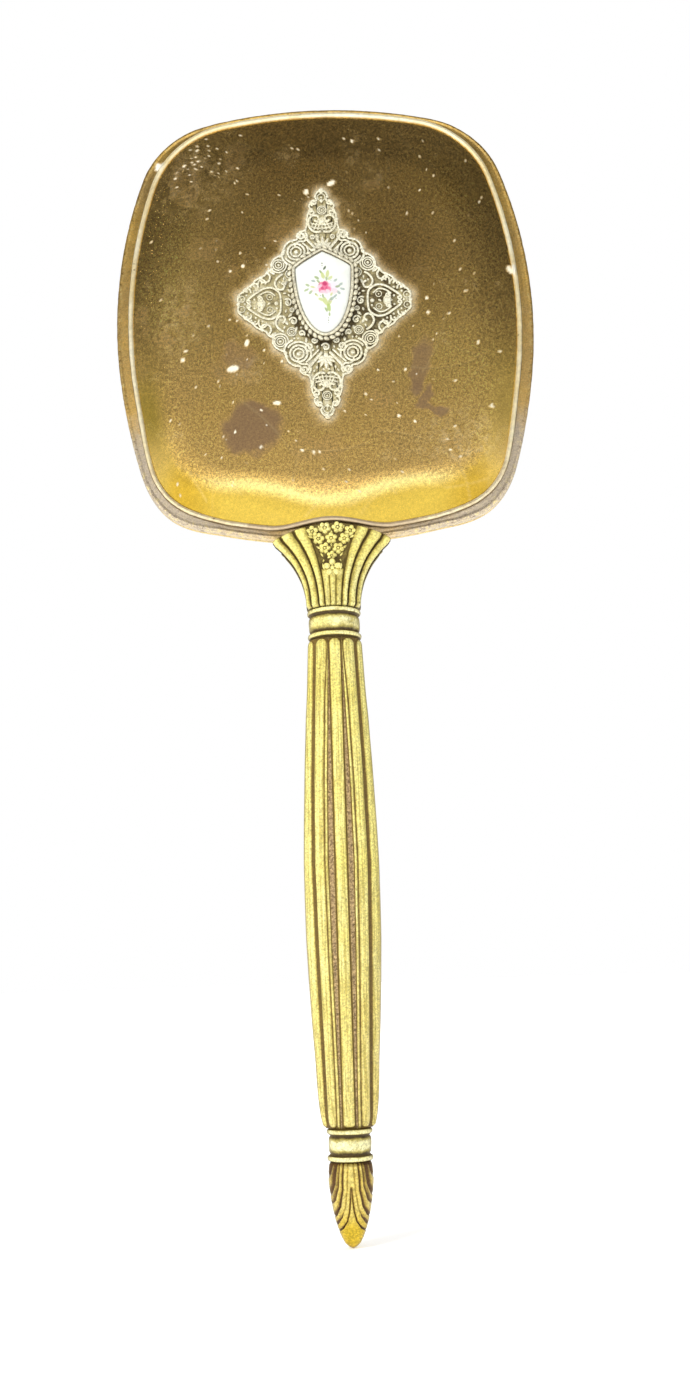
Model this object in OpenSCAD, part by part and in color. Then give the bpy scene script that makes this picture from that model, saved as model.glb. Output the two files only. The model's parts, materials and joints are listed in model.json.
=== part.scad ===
// Hand mirror: cushion-shaped head on a long reeded handle, with a pierced
// medallion and an enamel shield on its back.
// Frame: origin at the finial's tip on the handle's axis, +Z along the handle
// towards the head, +X to the right, +Y out of the ornate back, -Y out of the glass.

/* [Head] */
// Greatest width of the head
head_w = 128.2; // [120:0.2:136]
// Height of the head along the handle's axis
head_h = 142.4; // [134:0.2:150]
// Radius of the two long side arcs
side_r = 147; // [125:1:190]
// Radius of the top and bottom arcs
end_r = 151; // [125:1:190]
// Radius of the four corner arcs
corner_r = 29.4; // [26:0.2:34]
// Height of the head's centre above the finial's tip
head_z = 271.8; // [271.8:0.1:272.4]

/* [Back] */
// How far the back plate's crown stands above the rim's band
crown_h = 4.15; // [3.9:0.05:4.2]
// Thickness of the back plate's sheet
sheet_t = 0.6; // [0.4:0.1:0.8]
// Radius of the rolled wire round the back plate
bead_r = 0.95; // [0.7:0.05:1.0]
// Band left of the rim outside the rolled wire, at the sides
band_side = 4.5; // [3.6:0.1:5.2]
// Band left of the rim outside the rolled wire, at top and bottom
band_end = 2.8; // [2.4:0.1:3.4]

/* [Glass] */
// Thickness of the mirror glass
glass_t = 2.9; // [2.4:0.1:2.9]
// Width of the ground bevel round the glass
bevel_w = 10; // [8:0.5:14]

/* [Medallion] */
// Width of the pierced medallion
med_w = 53.4; // [48:0.2:56]
// Height of the pierced medallion
med_h = 75; // [68:0.5:78]
// Height of the medallion's centre above the finial's tip
med_z = 275.9; // [273:0.1:278]
// Height of the enamel shield
shield_h = 26.9; // [24:0.1:28]
// Width of the enamel shield
shield_w = 17.3; // [15:0.1:18]
// Height of the shield's centre above the finial's tip
shield_z = 278.35; // [276:0.05:280]

/* [Handle] */
// Greatest width of the grip
grip_w = 21.6; // [19:0.1:23]
// Greatest depth of the grip
grip_d = 15.6; // [14:0.1:15.8]
// Wall of the stamped grip shells
grip_t = 0.9; // [0.7:0.1:1.0]
// Height of the reeds above their grooves
reed_h = 0.55; // [0.3:0.05:0.7]
// Diameter of the upper collar
collar_up_d = 15.9; // [15:0.1:16]
// Diameter of the lower collar
collar_low_d = 12.8; // [12:0.1:13.4]
// Diameter of the tie rod through the handle
rod_d = 3.96; // [3.5:0.02:4]

/* [Hidden] */

gap = 0.05;               // clearance between two pieces that touch
bore_d = 4.06;            // tapped bore on the rod
loose_bore_d = bore_d + 0.2; // bore of the collars and plugs

// Heights on the handle's axis
z_finial_top = 23.1;      // also the lower collar's foot
z_grip_foot = 32.3;
z_grip_top = 171.25;
z_sock = 180.4;           // upper collar's top and socket's foot
z_sock_top = 205.4;       // crest of the socket's arched end
rivet_z = 202.6;          // row of tang rivets
rivet_x = [-7.5, -3.2, 3.2, 7.5];

// Levels through the head, from the front to the back
y_face = -8.1;            // plane of the bezel's flat front
y_glass = -2.05;          // back of the glass
y_ledge = -1.0;           // underside of the rim's band
y_band = 0.25;            // top of the rim's band
y_edge = y_band + 1.0;    // start of the back plate's curve
y_crown = y_band + crown_h;
y_med = y_crown + gap;    // underside of the medallion
med_t = 0.85;
y_med_top = y_med + med_t;
y_cup = y_med_top + gap;
y_cup_floor = y_cup + 0.5;
y_pad = y_cup_floor + gap;
pad_t = 0.3;
y_stone = y_pad + pad_t + gap;

rivet_d = 1.2;
rivet_hole_d = 1.3;
// Medallion rivets: [x, height above the medallion's centre]
med_rivets = [[-19.2, 0], [19.2, 0], [0, 26.4], [0, -26.4]];

// ---- shared solids ----
function quad(p1, p2, p3, p4) = [[p1, p2, p3], [p1, p3, p4]];
// closed outline from its right half, bottom to top or top to bottom
function mirrored(right) =
    concat(right, [for (i = [len(right) - 1:-1:0]) [-right[i][0], right[i][1]]]);

// skin through closed loops of equal length: capped at both ends, or else
// with the last loop joined back to the first
module loft(rings, capped = true) {
    size = len(rings[0]);
    count = len(rings);
    skin = [for (i = [0:count - (capped ? 2 : 1)]) for (j = [0:size - 1])
        let (k = (j + 1) % size, this = i * size, next = (i + 1) % count * size)
        each quad(this + j, this + k, next + k, next + j)];
    caps = [[for (j = [size - 1:-1:0]) j], [for (j = [0:size - 1]) (count - 1) * size + j]];
    polyhedron(points = [for (ring = rings) each ring],
        faces = capped ? concat(skin, caps) : skin, convexity = 8);
}
// flat shape made solid between y0 and y1, its own origin at height z
module slab(y0, y1, z = 0) {
    translate([0, y1, z]) rotate([90, 0, 0]) linear_extrude(y1 - y0) children();
}
module along_y(x, y0, y1, z, d, sides = 40) {
    translate([x, y1, z]) rotate([90, 0, 0]) cylinder(h = y1 - y0, d = d, $fn = sides);
}
module along_z(z, h, d, sides = 64) {
    translate([0, 0, z]) cylinder(h = h, d = d, $fn = sides);
}

// ---- cushion outline: eight tangent arcs ----
side_steps = 8;
corner_steps = 7;
end_steps = 18;

// centre of the upper right corner arc, side_x and end_z being the centres
// of the right side arc and the top arc on their axes
function corner_centre(side_x, end_z) =
    let (reach_side = side_r - corner_r, reach_end = end_r - corner_r,
        span = norm([side_x, end_z]),
        along = (pow(reach_side, 2) - pow(reach_end, 2) + span * span) / (2 * span),
        off = sqrt(pow(reach_side, 2) - along * along),
        dir_x = -side_x / span, dir_z = end_z / span)
    [side_x + dir_x * along - dir_z * off, dir_z * along + dir_x * off];
function arc(x, z, r, from, to, steps) =
    [for (i = [0:steps - 1]) let (q = from + (to - from) * i / steps)
        [x + r * cos(q), z + r * sin(q)]];
// closed outline, counter-clockwise from the lower right, moved in by inset
function cushion(half_w, half_h, inset) =
    let (side_x = half_w - side_r, end_z = half_h - end_r,
        centre = corner_centre(side_x, end_z), x = centre[0], z = centre[1],
        side_q = atan2(z, x - side_x), end_q = atan2(x, z - end_z),
        rs = side_r - inset, rc = corner_r - inset, re = end_r - inset)
    concat(arc(side_x, 0, rs, -side_q, side_q, side_steps),
        arc(x, z, rc, side_q, 90 - end_q, corner_steps),
        arc(0, end_z, re, 90 - end_q, 90 + end_q, end_steps),
        arc(-x, z, rc, 90 + end_q, 180 - side_q, corner_steps),
        arc(-side_x, 0, rs, 180 - side_q, 180 + side_q, side_steps),
        arc(-x, -z, rc, 180 + side_q, 270 - end_q, corner_steps),
        arc(0, -end_z, re, 270 - end_q, 270 + end_q, end_steps),
        arc(x, -z, rc, 270 + end_q, 360 - side_q, corner_steps));
function head(inset) = cushion(head_w / 2, head_h / 2, inset);

// the rolled wire's line, notched at the bottom to arch over the socket;
// the notch fades out as the line moves in
notch_half_w = 19;
notch_h = 3.15;
notch_fade = 16;
function notched(p, part) = (p[1] < 0 && abs(p[0]) < notch_half_w)
    ? [p[0], p[1] + part * notch_h * pow(cos(90 * p[0] / notch_half_w), 2)] : p;
function wire_line(inset) =
    let (part = max(0, 1 - inset / notch_fade))
    [for (p = cushion(head_w / 2 - band_side, head_h / 2 - band_end, inset)) notched(p, part)];
// outline placed at the head's centre, at level y
function at(y, outline) = [for (p = outline) [p[0], y, p[1] + head_z]];

// ring of constant section round the head: profile points are [inset, y], taken
// from the outside over one face to the inside and back
module head_ring(profile) {
    loft([for (p = profile) at(p[1], head(p[0]))], capped = false);
}

// ---- head ----
glass_inset = 5.05;
bevel_h = 0.75;
module mirror_glass() {
    y_front = y_glass - glass_t;
    color([0.78, 0.84, 0.86])
    loft([at(y_glass, head(glass_inset)), at(y_front + bevel_h, head(glass_inset)),
        at(y_front, head(glass_inset + bevel_w))]);
}
module backing_card() {
    color([0.62, 0.5, 0.36]) slab(y_glass + gap, y_ledge - gap, head_z) polygon(head(5.2));
}
module padding_sheet() {
    color([0.55, 0.12, 0.16]) slab(-0.95, 0.5, head_z) polygon(head(10.4));
}

// [inset, y]
rim_profile = [[0.95, -3.2], [0.95, y_ledge], [10, y_ledge], [10, y_band], [3.0, y_band],
    [0.8, -0.15], [0.25, -0.55], [0, -1.2], [0, -3.2]];
module rim_frame() {
    color([0.62, 0.5, 0.28]) difference() {
        head_ring(rim_profile);
        for (x = rivet_x) along_y(x, -2, 1, rivet_z, rivet_hole_d);
    }
}

// [inset, y]: outside and flat front first, then back along the hollow inside
bezel_profile = [[1.0, -1.9], [1.0, -3.25], [0, -3.35], [0, -4.6], [0.6, -6.4], [1.9, -7.7],
    [3.4, y_face], [6.2, y_face], [8.0, -7.6], [9.0, -6.4], [9.2, -4.65], [8.45, -4.65],
    [8.2, -6.1], [7.4, -7.0], [6.0, -7.35], [3.7, -7.35], [2.4, -7.0], [1.4, -6.0],
    [0.8, -4.5], [0.9, -4.05], [1.75, -3.95], [1.75, -1.9]];
module front_bezel() {
    color([0.8, 0.66, 0.3]) head_ring(bezel_profile);
}

// the back plate's outside: steep at its edge, flat from edge_run inwards
edge_run = 19;
plate_insets = [1.05, 2.2, 4, 6.5, 9.5, 13, 16, 20];
function plate_y(inset) =
    y_edge + (y_crown - y_edge) * (1 - pow(1 - min(inset, edge_run) / edge_run, 2.2));
module back_plate() {
    outside = [for (d = plate_insets) at(plate_y(d), wire_line(d))];
    inside = [for (i = [len(plate_insets) - 1:-1:0]) let (d = plate_insets[i])
        at(plate_y(d) - sheet_t, wire_line(d))];
    color([0.66, 0.5, 0.2]) difference() {
        loft(concat(inside, outside));
        for (p = med_rivets) along_y(p[0], 0, 8, med_z + p[1], rivet_hole_d, 24);
    }
}
// eight-sided wire, its section a touch narrower than it is high
module edge_wire() {
    color([0.93, 0.88, 0.66])
    loft([for (q = [0:-45:-315]) at(y_band + gap + bead_r + bead_r * sin(q),
        wire_line(-bead_r * 0.999 * cos(q)))], capped = false);
}

// ---- medallion ----
// half-width of the concave diamond at height z above its centre:
// straight flanks at the middle, a curved taper, then a rounded tip
flank_end = 0.12;
tip_start = 0.96;
function med_half_w(z) =
    let (u = abs(z) / (med_h / 2),
        taper = pow(max(0, 1 - (u - flank_end) / 0.80), 1.15),
        tip = u > tip_start ? sqrt(max(0.02, (1 - u) / (1 - tip_start))) : 1)
    med_w / 2 * (u < flank_end ? 1 - 1.1 * u : (0.11 + 0.758 * taper) * tip);
// small scallops along the edge, with both tips drawn in
med_steps = 44;
function scallop(i) = i == 0 || i == med_steps ? 0.3 : 1 + 0.035 * sin(i * 90);
function med_outline() = mirrored([for (i = [0:med_steps])
    let (z = -med_h / 2 + med_h * i / med_steps) [med_half_w(z) * scallop(i), z]]);

// Piercings: [x, height above the centre, diameter], repeated left and right
upper_piercings = [[2.0, 32, 1.1], [2.6, 28.5, 1.3], [3.2, 24.6, 1.9], [2.6, 20.5, 1.6],
    [6.6, 21.2, 1.5], [5.6, 17.6, 1.9], [10.4, 16.8, 1.8], [13.2, 12.4, 2.2],
    [17.0, 9.4, 1.7], [14.8, 7.0, 1.6], [20.6, 5.2, 1.4], [17.4, 3.2, 1.9]];
middle_piercings = [[21.6, 0, 2.0], [24.4, 0, 0.9], [13.4, 0, 1.5]];
module pierce(table, up = 1) {
    for (hole = table) for (side = [-1, 1])
        translate([side * hole[0], up * hole[1]]) circle(d = hole[2], $fn = 24);
}
module filigree_medallion() {
    color([0.85, 0.8, 0.62]) slab(y_med, y_med_top, med_z) difference() {
        polygon(med_outline());
        for (up = [-1, 1]) pierce(upper_piercings, up);
        pierce(middle_piercings);
        for (p = med_rivets) translate(p) circle(d = rivet_hole_d, $fn = 24);
    }
}
// shank, flat head under the back plate, tapered head on the medallion
module medallion_rivets() {
    y_under = y_crown - sheet_t;
    color([0.8, 0.76, 0.6]) for (p = med_rivets) {
        along_y(p[0], y_under - 0.7, y_med_top + 0.1, med_z + p[1], rivet_d, 24);
        along_y(p[0], y_under - 0.75, y_under - gap, med_z + p[1], 2.2, 24);
        translate([p[0], y_med_top + 0.02, med_z + p[1]]) rotate([-90, 0, 0])
            cylinder(h = 0.45, d1 = 2.1, d2 = rivet_d, $fn = 24);
    }
}

// enamel shield: pointed-arch top, sides curving in to a soft point;
// drawn at its base size, then stretched to shield_w and shield_h
base_w = 17.3;
base_h = 26.9;
shoulder = 6.1;           // depth of the widest place below the top
// depths below the top, from the foot up
shield_depths = [26.6, 25.9, 24.4, 22.4, 20, 17, 14, 11, 8.4, 6.4, 5.4, 4.2, 2.6, 1.2, 0];
function shield_half_w(depth) = base_w / 2 * (depth < shoulder
    ? 1 - pow(1 - depth / shoulder, 1.3)
    : pow(1 - pow((depth - shoulder) / (base_h - shoulder), 1.87), 0.87));
// outline about the shield's centre, scaled by part and then grown by margin
function shield_outline(part, margin) =
    let (wide = shield_w / base_w, high = shield_h / base_h)
    mirrored(concat([[wide * 0.3, -high * base_h / 2 * part - margin]],
        [for (t = shield_depths)
            [wide * (shield_half_w(t) * part + (t == 0 ? 0.25 : margin)),
            high * (base_h / 2 - t) * part + margin * max(0, 1 - t / 3)]]));
module cabochon_cup() {
    color([0.72, 0.66, 0.5]) difference() {
        slab(y_cup, y_cup + 2.0, shield_z) polygon(shield_outline(1, 1.75));
        slab(y_cup_floor, y_cup + 3, shield_z) polygon(shield_outline(1, 0.12));
    }
}
module cabochon_pad() {
    color([0.8, 0.78, 0.7])
    slab(y_pad, y_pad + pad_t, shield_z) polygon(shield_outline(0.94, 0));
}
// [part of the height, part of the outline]
dome_rows = [[0, 1], [0.4, 1], [0.66, 0.9], [0.86, 0.7], [0.96, 0.45], [1, 0.15]];
// the dome stands as far out at the back as the bezel's face does at the front
module shield_cabochon() {
    color([0.97, 0.97, 0.94]) loft([for (row = dome_rows)
        [for (p = shield_outline(row[1], 0))
            [p[0], y_stone + (-y_face - y_stone) * row[0], p[1] + shield_z]]]);
}

// ---- junction of head and handle ----
// [height on the axis, half-width, bend of the row, back y, front y]
sock_rows = [[z_sock, 8.05, 0, 7.5, -7.5], [184, 8.2, 0.1, 7.3, -7.3],
    [187, 8.7, 0.25, 7.0, -7.0], [190, 9.5, 0.4, 6.6, -6.6],
    [193, 10.7, 0.55, 6.2, -6.0], [196, 12.1, 0.7, 5.7, -5.1],
    [199, 13.8, 0.85, 5.1, -3.9], [200.2, 14.5, 0.88, 4.9, -3.0],
    [200.24, 14.5, 0.88, 4.9, 0.32], [202.5, 15.9, 0.95, 4.4, 0.32],
    [z_sock_top - 1, 17.3, 1, 3.8, 0.32], [z_sock_top, 17.5, 1, 3.1, 0.32]];
sock_steps = 28;
arch_r = 33;              // radius of the socket's arched end
// rounded-rectangle loop, sagging towards both sides by the row's bend
function sock_ring(row) =
    let (y_mid = (row[3] + row[4]) / 2, half_d = (row[3] - row[4]) / 2)
    [for (i = [0:sock_steps - 1])
        let (q = 360 * (i + 0.5) / sock_steps,
            x = row[1] * sign(cos(q)) * pow(abs(cos(q)), 0.75),
            y = y_mid + half_d * sign(sin(q)) * pow(abs(sin(q)), 0.6))
        [x, y, row[0] - row[2] * x * x / (2 * arch_r)]];
// outline of the tang plate, grown by margin for its pocket
function tang_outline(margin) = mirrored([[3.6, 189.5 - margin],
    [12 + margin, 199.8 - margin], [12 + margin, 201.8 + margin],
    [9 + margin, 203.15 + margin], [4 + margin, 204.3 + margin]]);
y_tang = 0.35;
y_tang_top = 1.75;
pocket_play = 0.1;        // below and above the tang plate
module handle_socket() {
    color([0.86, 0.78, 0.36]) difference() {
        loft([for (row = sock_rows) sock_ring(row)]);
        along_z(z_sock - 1, 15.5, 9);
        slab(y_tang - 2 * pocket_play, y_tang_top + pocket_play) polygon(tang_outline(0.15));
    }
}
// plate with a tapped boss on the axis
module tang_plate() {
    color([0.6, 0.6, 0.58]) difference() {
        union() {
            slab(y_tang, y_tang_top) polygon(tang_outline(0));
            along_z(184.6, 9.2, 8);
        }
        along_z(184, 9, bore_d);
        for (x = rivet_x) along_y(x, 0, 2, rivet_z, rivet_hole_d);
    }
}
// peened flush at both ends
module tang_rivets() {
    color([0.7, 0.6, 0.35])
    for (x = rivet_x) along_y(x, y_ledge, y_tang_top, rivet_z, rivet_d, 24);
}
module tang_lock_nut() {
    color([0.7, 0.7, 0.7]) difference() {
        along_z(181.2, 3.2, 8, sides = 6);
        along_z(180.2, 6, bore_d);
    }
}

// ---- handle ----
thread_pitch = 1.0;
thread_h = 0.35;
// ridged profile, drawn as separate rings
function thread(z, turns) = let (r = rod_d / 2, root = r - thread_h)
    [for (i = [0:turns - 1]) for (p = [[r, 0], [r, 0.45], [root, 0.6], [root, 0.8]])
        [p[0], z + thread_pitch * (i + p[1])]];
module tie_rod() {
    r = rod_d / 2;
    tip_r = r - 0.6;
    color([0.68, 0.68, 0.66]) rotate_extrude($fn = 64)
        polygon(concat([[0, 9.5], [tip_r, 9.5]], thread(10, 13),
            [[r, 23.2], [r, 180.8]], thread(181, 11), [[tip_r, 192.4], [0, 192.4]]));
}

// collar between two heights: a bead at each end and a band between
bead_h = 0.85;            // half the bead's height
bead_out = bead_h * 0.62; // how far the bead swells out
module collar(z_foot, z_top, d) {
    r = d / 2;
    h = z_top - z_foot - 2 * gap;
    lower = concat([[loose_bore_d / 2, 0], [r - 1.1, 0], [r - 1.0, 0.25]],
        [for (q = [-80:20:80])
            [r - bead_out + bead_out * cos(q), 0.3 + bead_h + bead_h * sin(q)]],
        [[r - 0.75, 0.45 + 2 * bead_h], [r - 0.5, 1.1 + 2 * bead_h]]);
    upper = [for (i = [len(lower) - 1:-1:0]) [lower[i][0], h - lower[i][1]]];
    translate([0, 0, z_foot + gap]) rotate_extrude($fn = 96)
        polygon(concat(lower, [[r - 0.42, h / 2]], upper));
}
module upper_collar() {
    color([0.9, 0.82, 0.4]) collar(z_grip_top, z_sock, collar_up_d);
}
module lower_collar() {
    color([0.9, 0.82, 0.4]) collar(z_finial_top, z_grip_foot, collar_low_d);
}

// [height on the axis, part of the greatest width, part of the greatest depth]
grip_rows = [[z_grip_foot, 0.615, 0.70], [34, 0.69, 0.78], [38, 0.762, 0.82],
    [45, 0.81, 0.86], [56, 0.865, 0.90], [68, 0.92, 0.94], [80, 0.966, 0.97],
    [95, 0.995, 1], [106, 1, 1], [118, 0.963, 1], [130, 0.917, 0.985],
    [142, 0.868, 0.96], [154, 0.79, 0.93], [162, 0.755, 0.92], [168, 0.73, 0.91],
    [z_grip_top, 0.70, 0.88]];
reeds = 5;                // on each shell
reed_shape = [0, 0.8, 1, 0.8]; // lift at the steps across one reed
seam_lift = 0.35;         // lift at the shell's two long edges
grip_steps = reeds * len(reed_shape);
function lift(i) =
    i == 0 || i == grip_steps ? seam_lift : reed_shape[i % len(reed_shape)];
// one shell's point at step i; side is 1 for the back and -1 for the front
function grip_point(row, i, inside, side) =
    let (q = 180 * i / grip_steps,
        inset = inside ? grip_t + reed_h : reed_h * (1 - lift(i)))
    [(grip_w / 2 * row[1] - inset) * cos(q),
        side * ((grip_d / 2 * row[2] - inset) * sin(q) + gap / 2), row[0]];
module grip_half(side) {
    width = grip_steps + 1;
    top = len(grip_rows) - 1;
    points = [for (inside = [false, true]) for (row = grip_rows) for (i = [0:grip_steps])
        grip_point(row, i, inside, side)];
    function outer(row, i) = row * width + i;
    function inner(row, i) = (top + 1) * width + outer(row, i);
    walls = [for (r = [0:top - 1]) for (i = [0:grip_steps - 1]) each concat(
        quad(outer(r, i), outer(r, i + 1), outer(r + 1, i + 1), outer(r + 1, i)),
        quad(inner(r, i + 1), inner(r, i), inner(r + 1, i), inner(r + 1, i + 1)))];
    ends = [for (i = [0:grip_steps - 1]) each concat(
        quad(outer(0, i + 1), outer(0, i), inner(0, i), inner(0, i + 1)),
        quad(outer(top, i), outer(top, i + 1), inner(top, i + 1), inner(top, i)))];
    seams = [for (r = [0:top - 1]) let (m = grip_steps) each concat(
        quad(outer(r, 0), outer(r + 1, 0), inner(r + 1, 0), inner(r, 0)),
        quad(outer(r + 1, m), outer(r, m), inner(r, m), inner(r + 1, m)))];
    faces = concat(walls, ends, seams);
    // the two shells are mirror images, so their faces wind opposite ways
    polyhedron(points = points,
        faces = side > 0 ? [for (f = faces) [f[2], f[1], f[0]]] : faces, convexity = 8);
}
module grip_shell_back() {
    color([0.88, 0.79, 0.34]) grip_half(1);
}
module grip_shell_front() {
    color([0.84, 0.75, 0.32]) grip_half(-1);
}

module plug(z, h, d) {
    difference() {
        along_z(z, h, d);
        along_z(z - 1, h + 2, loose_bore_d);
    }
}
module grip_plug_upper() {
    color([0.7, 0.55, 0.3]) plug(165, 6.2, 10.6);
}
module grip_plug_lower() {
    color([0.7, 0.55, 0.3]) plug(32.4, 4.5, 7.6);
}

// radius at part u of the height: a swelling bud, drawn in over its last tenth
finial_r = 6.35;
function finial_radius(u) =
    finial_r * pow(sin(90 * min(1, pow(u * 1.12 + 0.004, 0.72))), 0.9) - max(0, u - 0.9) * 5;
module finial() {
    h = z_finial_top;
    profile = [for (i = [0:20]) [finial_radius(i / 20), h * i / 20]];
    color([0.86, 0.74, 0.26]) difference() {
        rotate_extrude($fn = 96) polygon(concat([[0, 0]], profile, [[0, h]]));
        along_z(9, h, bore_d);
    }
}

mirror_glass();
backing_card();
padding_sheet();
rim_frame();
front_bezel();
back_plate();
edge_wire();
filigree_medallion();
medallion_rivets();
cabochon_cup();
cabochon_pad();
shield_cabochon();
handle_socket();
tang_plate();
tang_rivets();
tang_lock_nut();
tie_rod();
upper_collar();
grip_shell_back();
grip_shell_front();
grip_plug_upper();
grip_plug_lower();
lower_collar();
finial();
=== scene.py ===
"""Gilt brass hand mirror: reeded handle, cushion-shaped head, and on the head's back a
filigree medallion that holds a painted enamel shield.

The handle stands along Z with the finial's tip at z = 0 and the head on top. The glass faces
-Y, the ornamented back faces +Y. Pieces are modelled in millimetres; the scene is in metres.
"""

import json
import math

import bmesh
import bpy
import numpy as np
from mathutils import Matrix, Vector

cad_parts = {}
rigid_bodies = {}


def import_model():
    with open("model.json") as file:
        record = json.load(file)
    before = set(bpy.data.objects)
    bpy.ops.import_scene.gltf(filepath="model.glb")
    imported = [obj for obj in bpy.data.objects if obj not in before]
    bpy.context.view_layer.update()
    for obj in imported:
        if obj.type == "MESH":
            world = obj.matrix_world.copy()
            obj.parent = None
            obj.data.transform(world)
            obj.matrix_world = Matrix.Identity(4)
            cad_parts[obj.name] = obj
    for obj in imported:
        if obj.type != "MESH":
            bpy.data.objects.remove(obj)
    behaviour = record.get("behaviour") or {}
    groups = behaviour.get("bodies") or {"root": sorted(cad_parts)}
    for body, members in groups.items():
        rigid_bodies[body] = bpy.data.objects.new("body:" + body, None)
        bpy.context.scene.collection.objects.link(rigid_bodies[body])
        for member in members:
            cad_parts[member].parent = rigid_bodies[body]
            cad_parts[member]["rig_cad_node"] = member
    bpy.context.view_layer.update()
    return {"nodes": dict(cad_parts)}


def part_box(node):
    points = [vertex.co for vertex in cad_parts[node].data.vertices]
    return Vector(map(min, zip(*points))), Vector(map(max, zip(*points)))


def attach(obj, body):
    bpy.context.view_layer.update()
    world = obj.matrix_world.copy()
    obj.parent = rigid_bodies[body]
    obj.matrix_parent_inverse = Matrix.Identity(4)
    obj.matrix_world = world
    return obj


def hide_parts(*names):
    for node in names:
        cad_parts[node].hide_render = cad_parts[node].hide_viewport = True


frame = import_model()
MM = 0.001
rng = np.random.default_rng(7)


# ------------------------------------------------------------------ helpers
def box_mm(node):
    lo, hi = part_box(node)
    return np.array(lo) * 1000, np.array(hi) * 1000


def add_piece(name, points, faces, material, slot, node=None, **attrs):
    """One smooth piece from points in millimetres; attrs are values or colours per point."""
    mesh = bpy.data.meshes.new(name)
    mesh.from_pydata((np.asarray(points, float) * MM).tolist(), [], faces)
    mesh.update()
    mesh.polygons.foreach_set("use_smooth", [True] * len(mesh.polygons))
    for key, values in attrs.items():
        values = np.asarray(values, np.float32)
        if values.ndim == 1:
            layer = mesh.attributes.new(key, "FLOAT", "POINT")
            layer.data.foreach_set("value", values)
        else:
            layer = mesh.attributes.new(key, "FLOAT_COLOR", "POINT")
            rgba = np.c_[values[:, :3], np.ones(len(values))].astype(np.float32)
            layer.data.foreach_set("color", rgba.ravel())
    piece = bpy.data.objects.new(name, mesh)
    bpy.context.scene.collection.objects.link(piece)
    mesh.materials.append(material)
    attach(piece, "root")
    if node:
        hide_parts(node)
    return piece


def flipped(faces):
    return [face[::-1] for face in faces]


def grid_faces(rows, cols, close_rows=False, close_cols=False, start=0, flip=False):
    """Quads over a grid of points numbered row * cols + col, from start."""
    row, col = np.meshgrid(np.arange(rows if close_rows else rows - 1),
                           np.arange(cols if close_cols else cols - 1), indexing="ij")
    row2, col2 = (row + 1) % rows, (col + 1) % cols
    quads = np.stack([row * cols + col, row2 * cols + col,
                      row2 * cols + col2, row * cols + col2], -1).reshape(-1, 4) + start
    return (quads[:, ::-1] if flip else quads).tolist()


class Soup:
    """Many closed bits gathered into one piece, each point with its darkness: painted shade and
    patina in the hollows.
    """

    def __init__(self):
        self.points, self.faces, self.cav, self.count = [], [], [], 0

    def add(self, points, faces, cav):
        points = np.asarray(points, float)
        self.points.append(points)
        self.faces += [[i + self.count for i in face] for face in faces]
        self.cav.append(np.full(len(points), cav, float) if np.isscalar(cav)
                        else np.asarray(cav, float))
        self.count += len(points)

    def piece(self, name, material, slot, node=None):
        add_piece(name, np.concatenate(self.points), self.faces, material, slot, node,
                  cav=np.concatenate(self.cav))


def ease(start, end, x):
    """Smooth step from 0 at start to 1 at end."""
    part = np.clip((x - start) / (end - start), 0, 1)
    return part * part * (3 - 2 * part)


def bell(x, width):
    return np.exp(-(x / width) ** 2)


def value_noise(x, y, seed):
    def corner_value(i, j):
        value = np.sin(i * 127.1 + j * 311.7 + seed * 74.7) * 43758.5453
        return value - np.floor(value)
    i, j = np.floor(x), np.floor(y)
    right, up = x - i, y - j
    right, up = right * right * (3 - 2 * right), up * up * (3 - 2 * up)
    low = corner_value(i, j) * (1 - right) + corner_value(i + 1, j) * right
    high = corner_value(i, j + 1) * (1 - right) + corner_value(i + 1, j + 1) * right
    return low * (1 - up) + high * up


def noise(x, y, seed, layers=4):
    """Layered smooth noise, 0 to 1."""
    total, weights, weight = 0, 0, 1.0
    for k in range(layers):
        total = total + weight * value_noise(x * 2 ** k, y * 2 ** k, seed + k)
        weights += weight
        weight *= 0.5
    return total / weights


def hermite(part, start, start_slope, end, end_slope):
    return ((2 * part ** 3 - 3 * part ** 2 + 1) * start
            + (part ** 3 - 2 * part ** 2 + part) * start_slope
            + (-2 * part ** 3 + 3 * part ** 2) * end
            + (part ** 3 - part ** 2) * end_slope)


def smooth_open(points, steps=6):
    """Catmull-Rom curve through an open run of points."""
    points = np.asarray(points, float)
    last = len(points) - 1
    curve = []
    for i in range(last):
        before, after = points[max(i - 1, 0)], points[min(i + 2, last)]
        start, end = points[i], points[i + 1]
        for part in np.arange(steps) / steps:
            curve.append(hermite(part, start, (end - before) / 2, end, (after - start) / 2))
    curve.append(points[-1])
    return np.array(curve)


def refine(section, step=0.3):
    """Points about step apart on a closed section: curved, but straight on long spans."""
    count = len(section)
    curve = []
    for i in range(count):
        before, start, end, after = (section[(i + k) % count] for k in (-1, 0, 1, 2))
        span = np.linalg.norm(end - start)
        cuts = min(8, max(1, int(round(span / step))))
        slopes = [slope * min(1, span * 1.2 / (np.linalg.norm(slope) + 1e-9))
                  for slope in ((end - before) * 0.35, (after - start) * 0.35)]
        for part in np.arange(cuts) / cuts:
            if span > 2.5:
                curve.append(start + (end - start) * part)
            else:
                curve.append(hermite(part, start, slopes[0], end, slopes[1]))
    return np.array(curve)


# ------------------------------------------------------------------ head outline
rim_lo, rim_hi = box_mm("rim_frame")
HEAD_HALF_W = (rim_hi[0] - rim_lo[0]) / 2 + 0.02
HEAD_HALF_H = (rim_hi[2] - rim_lo[2]) / 2
HEAD_Z = (rim_hi[2] + rim_lo[2]) / 2
SIDE_R, END_R, CORNER_R = 147.0, 151.0, 29.4      # arc radii of the cushion outline
RIM_COUNT = 480


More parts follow.
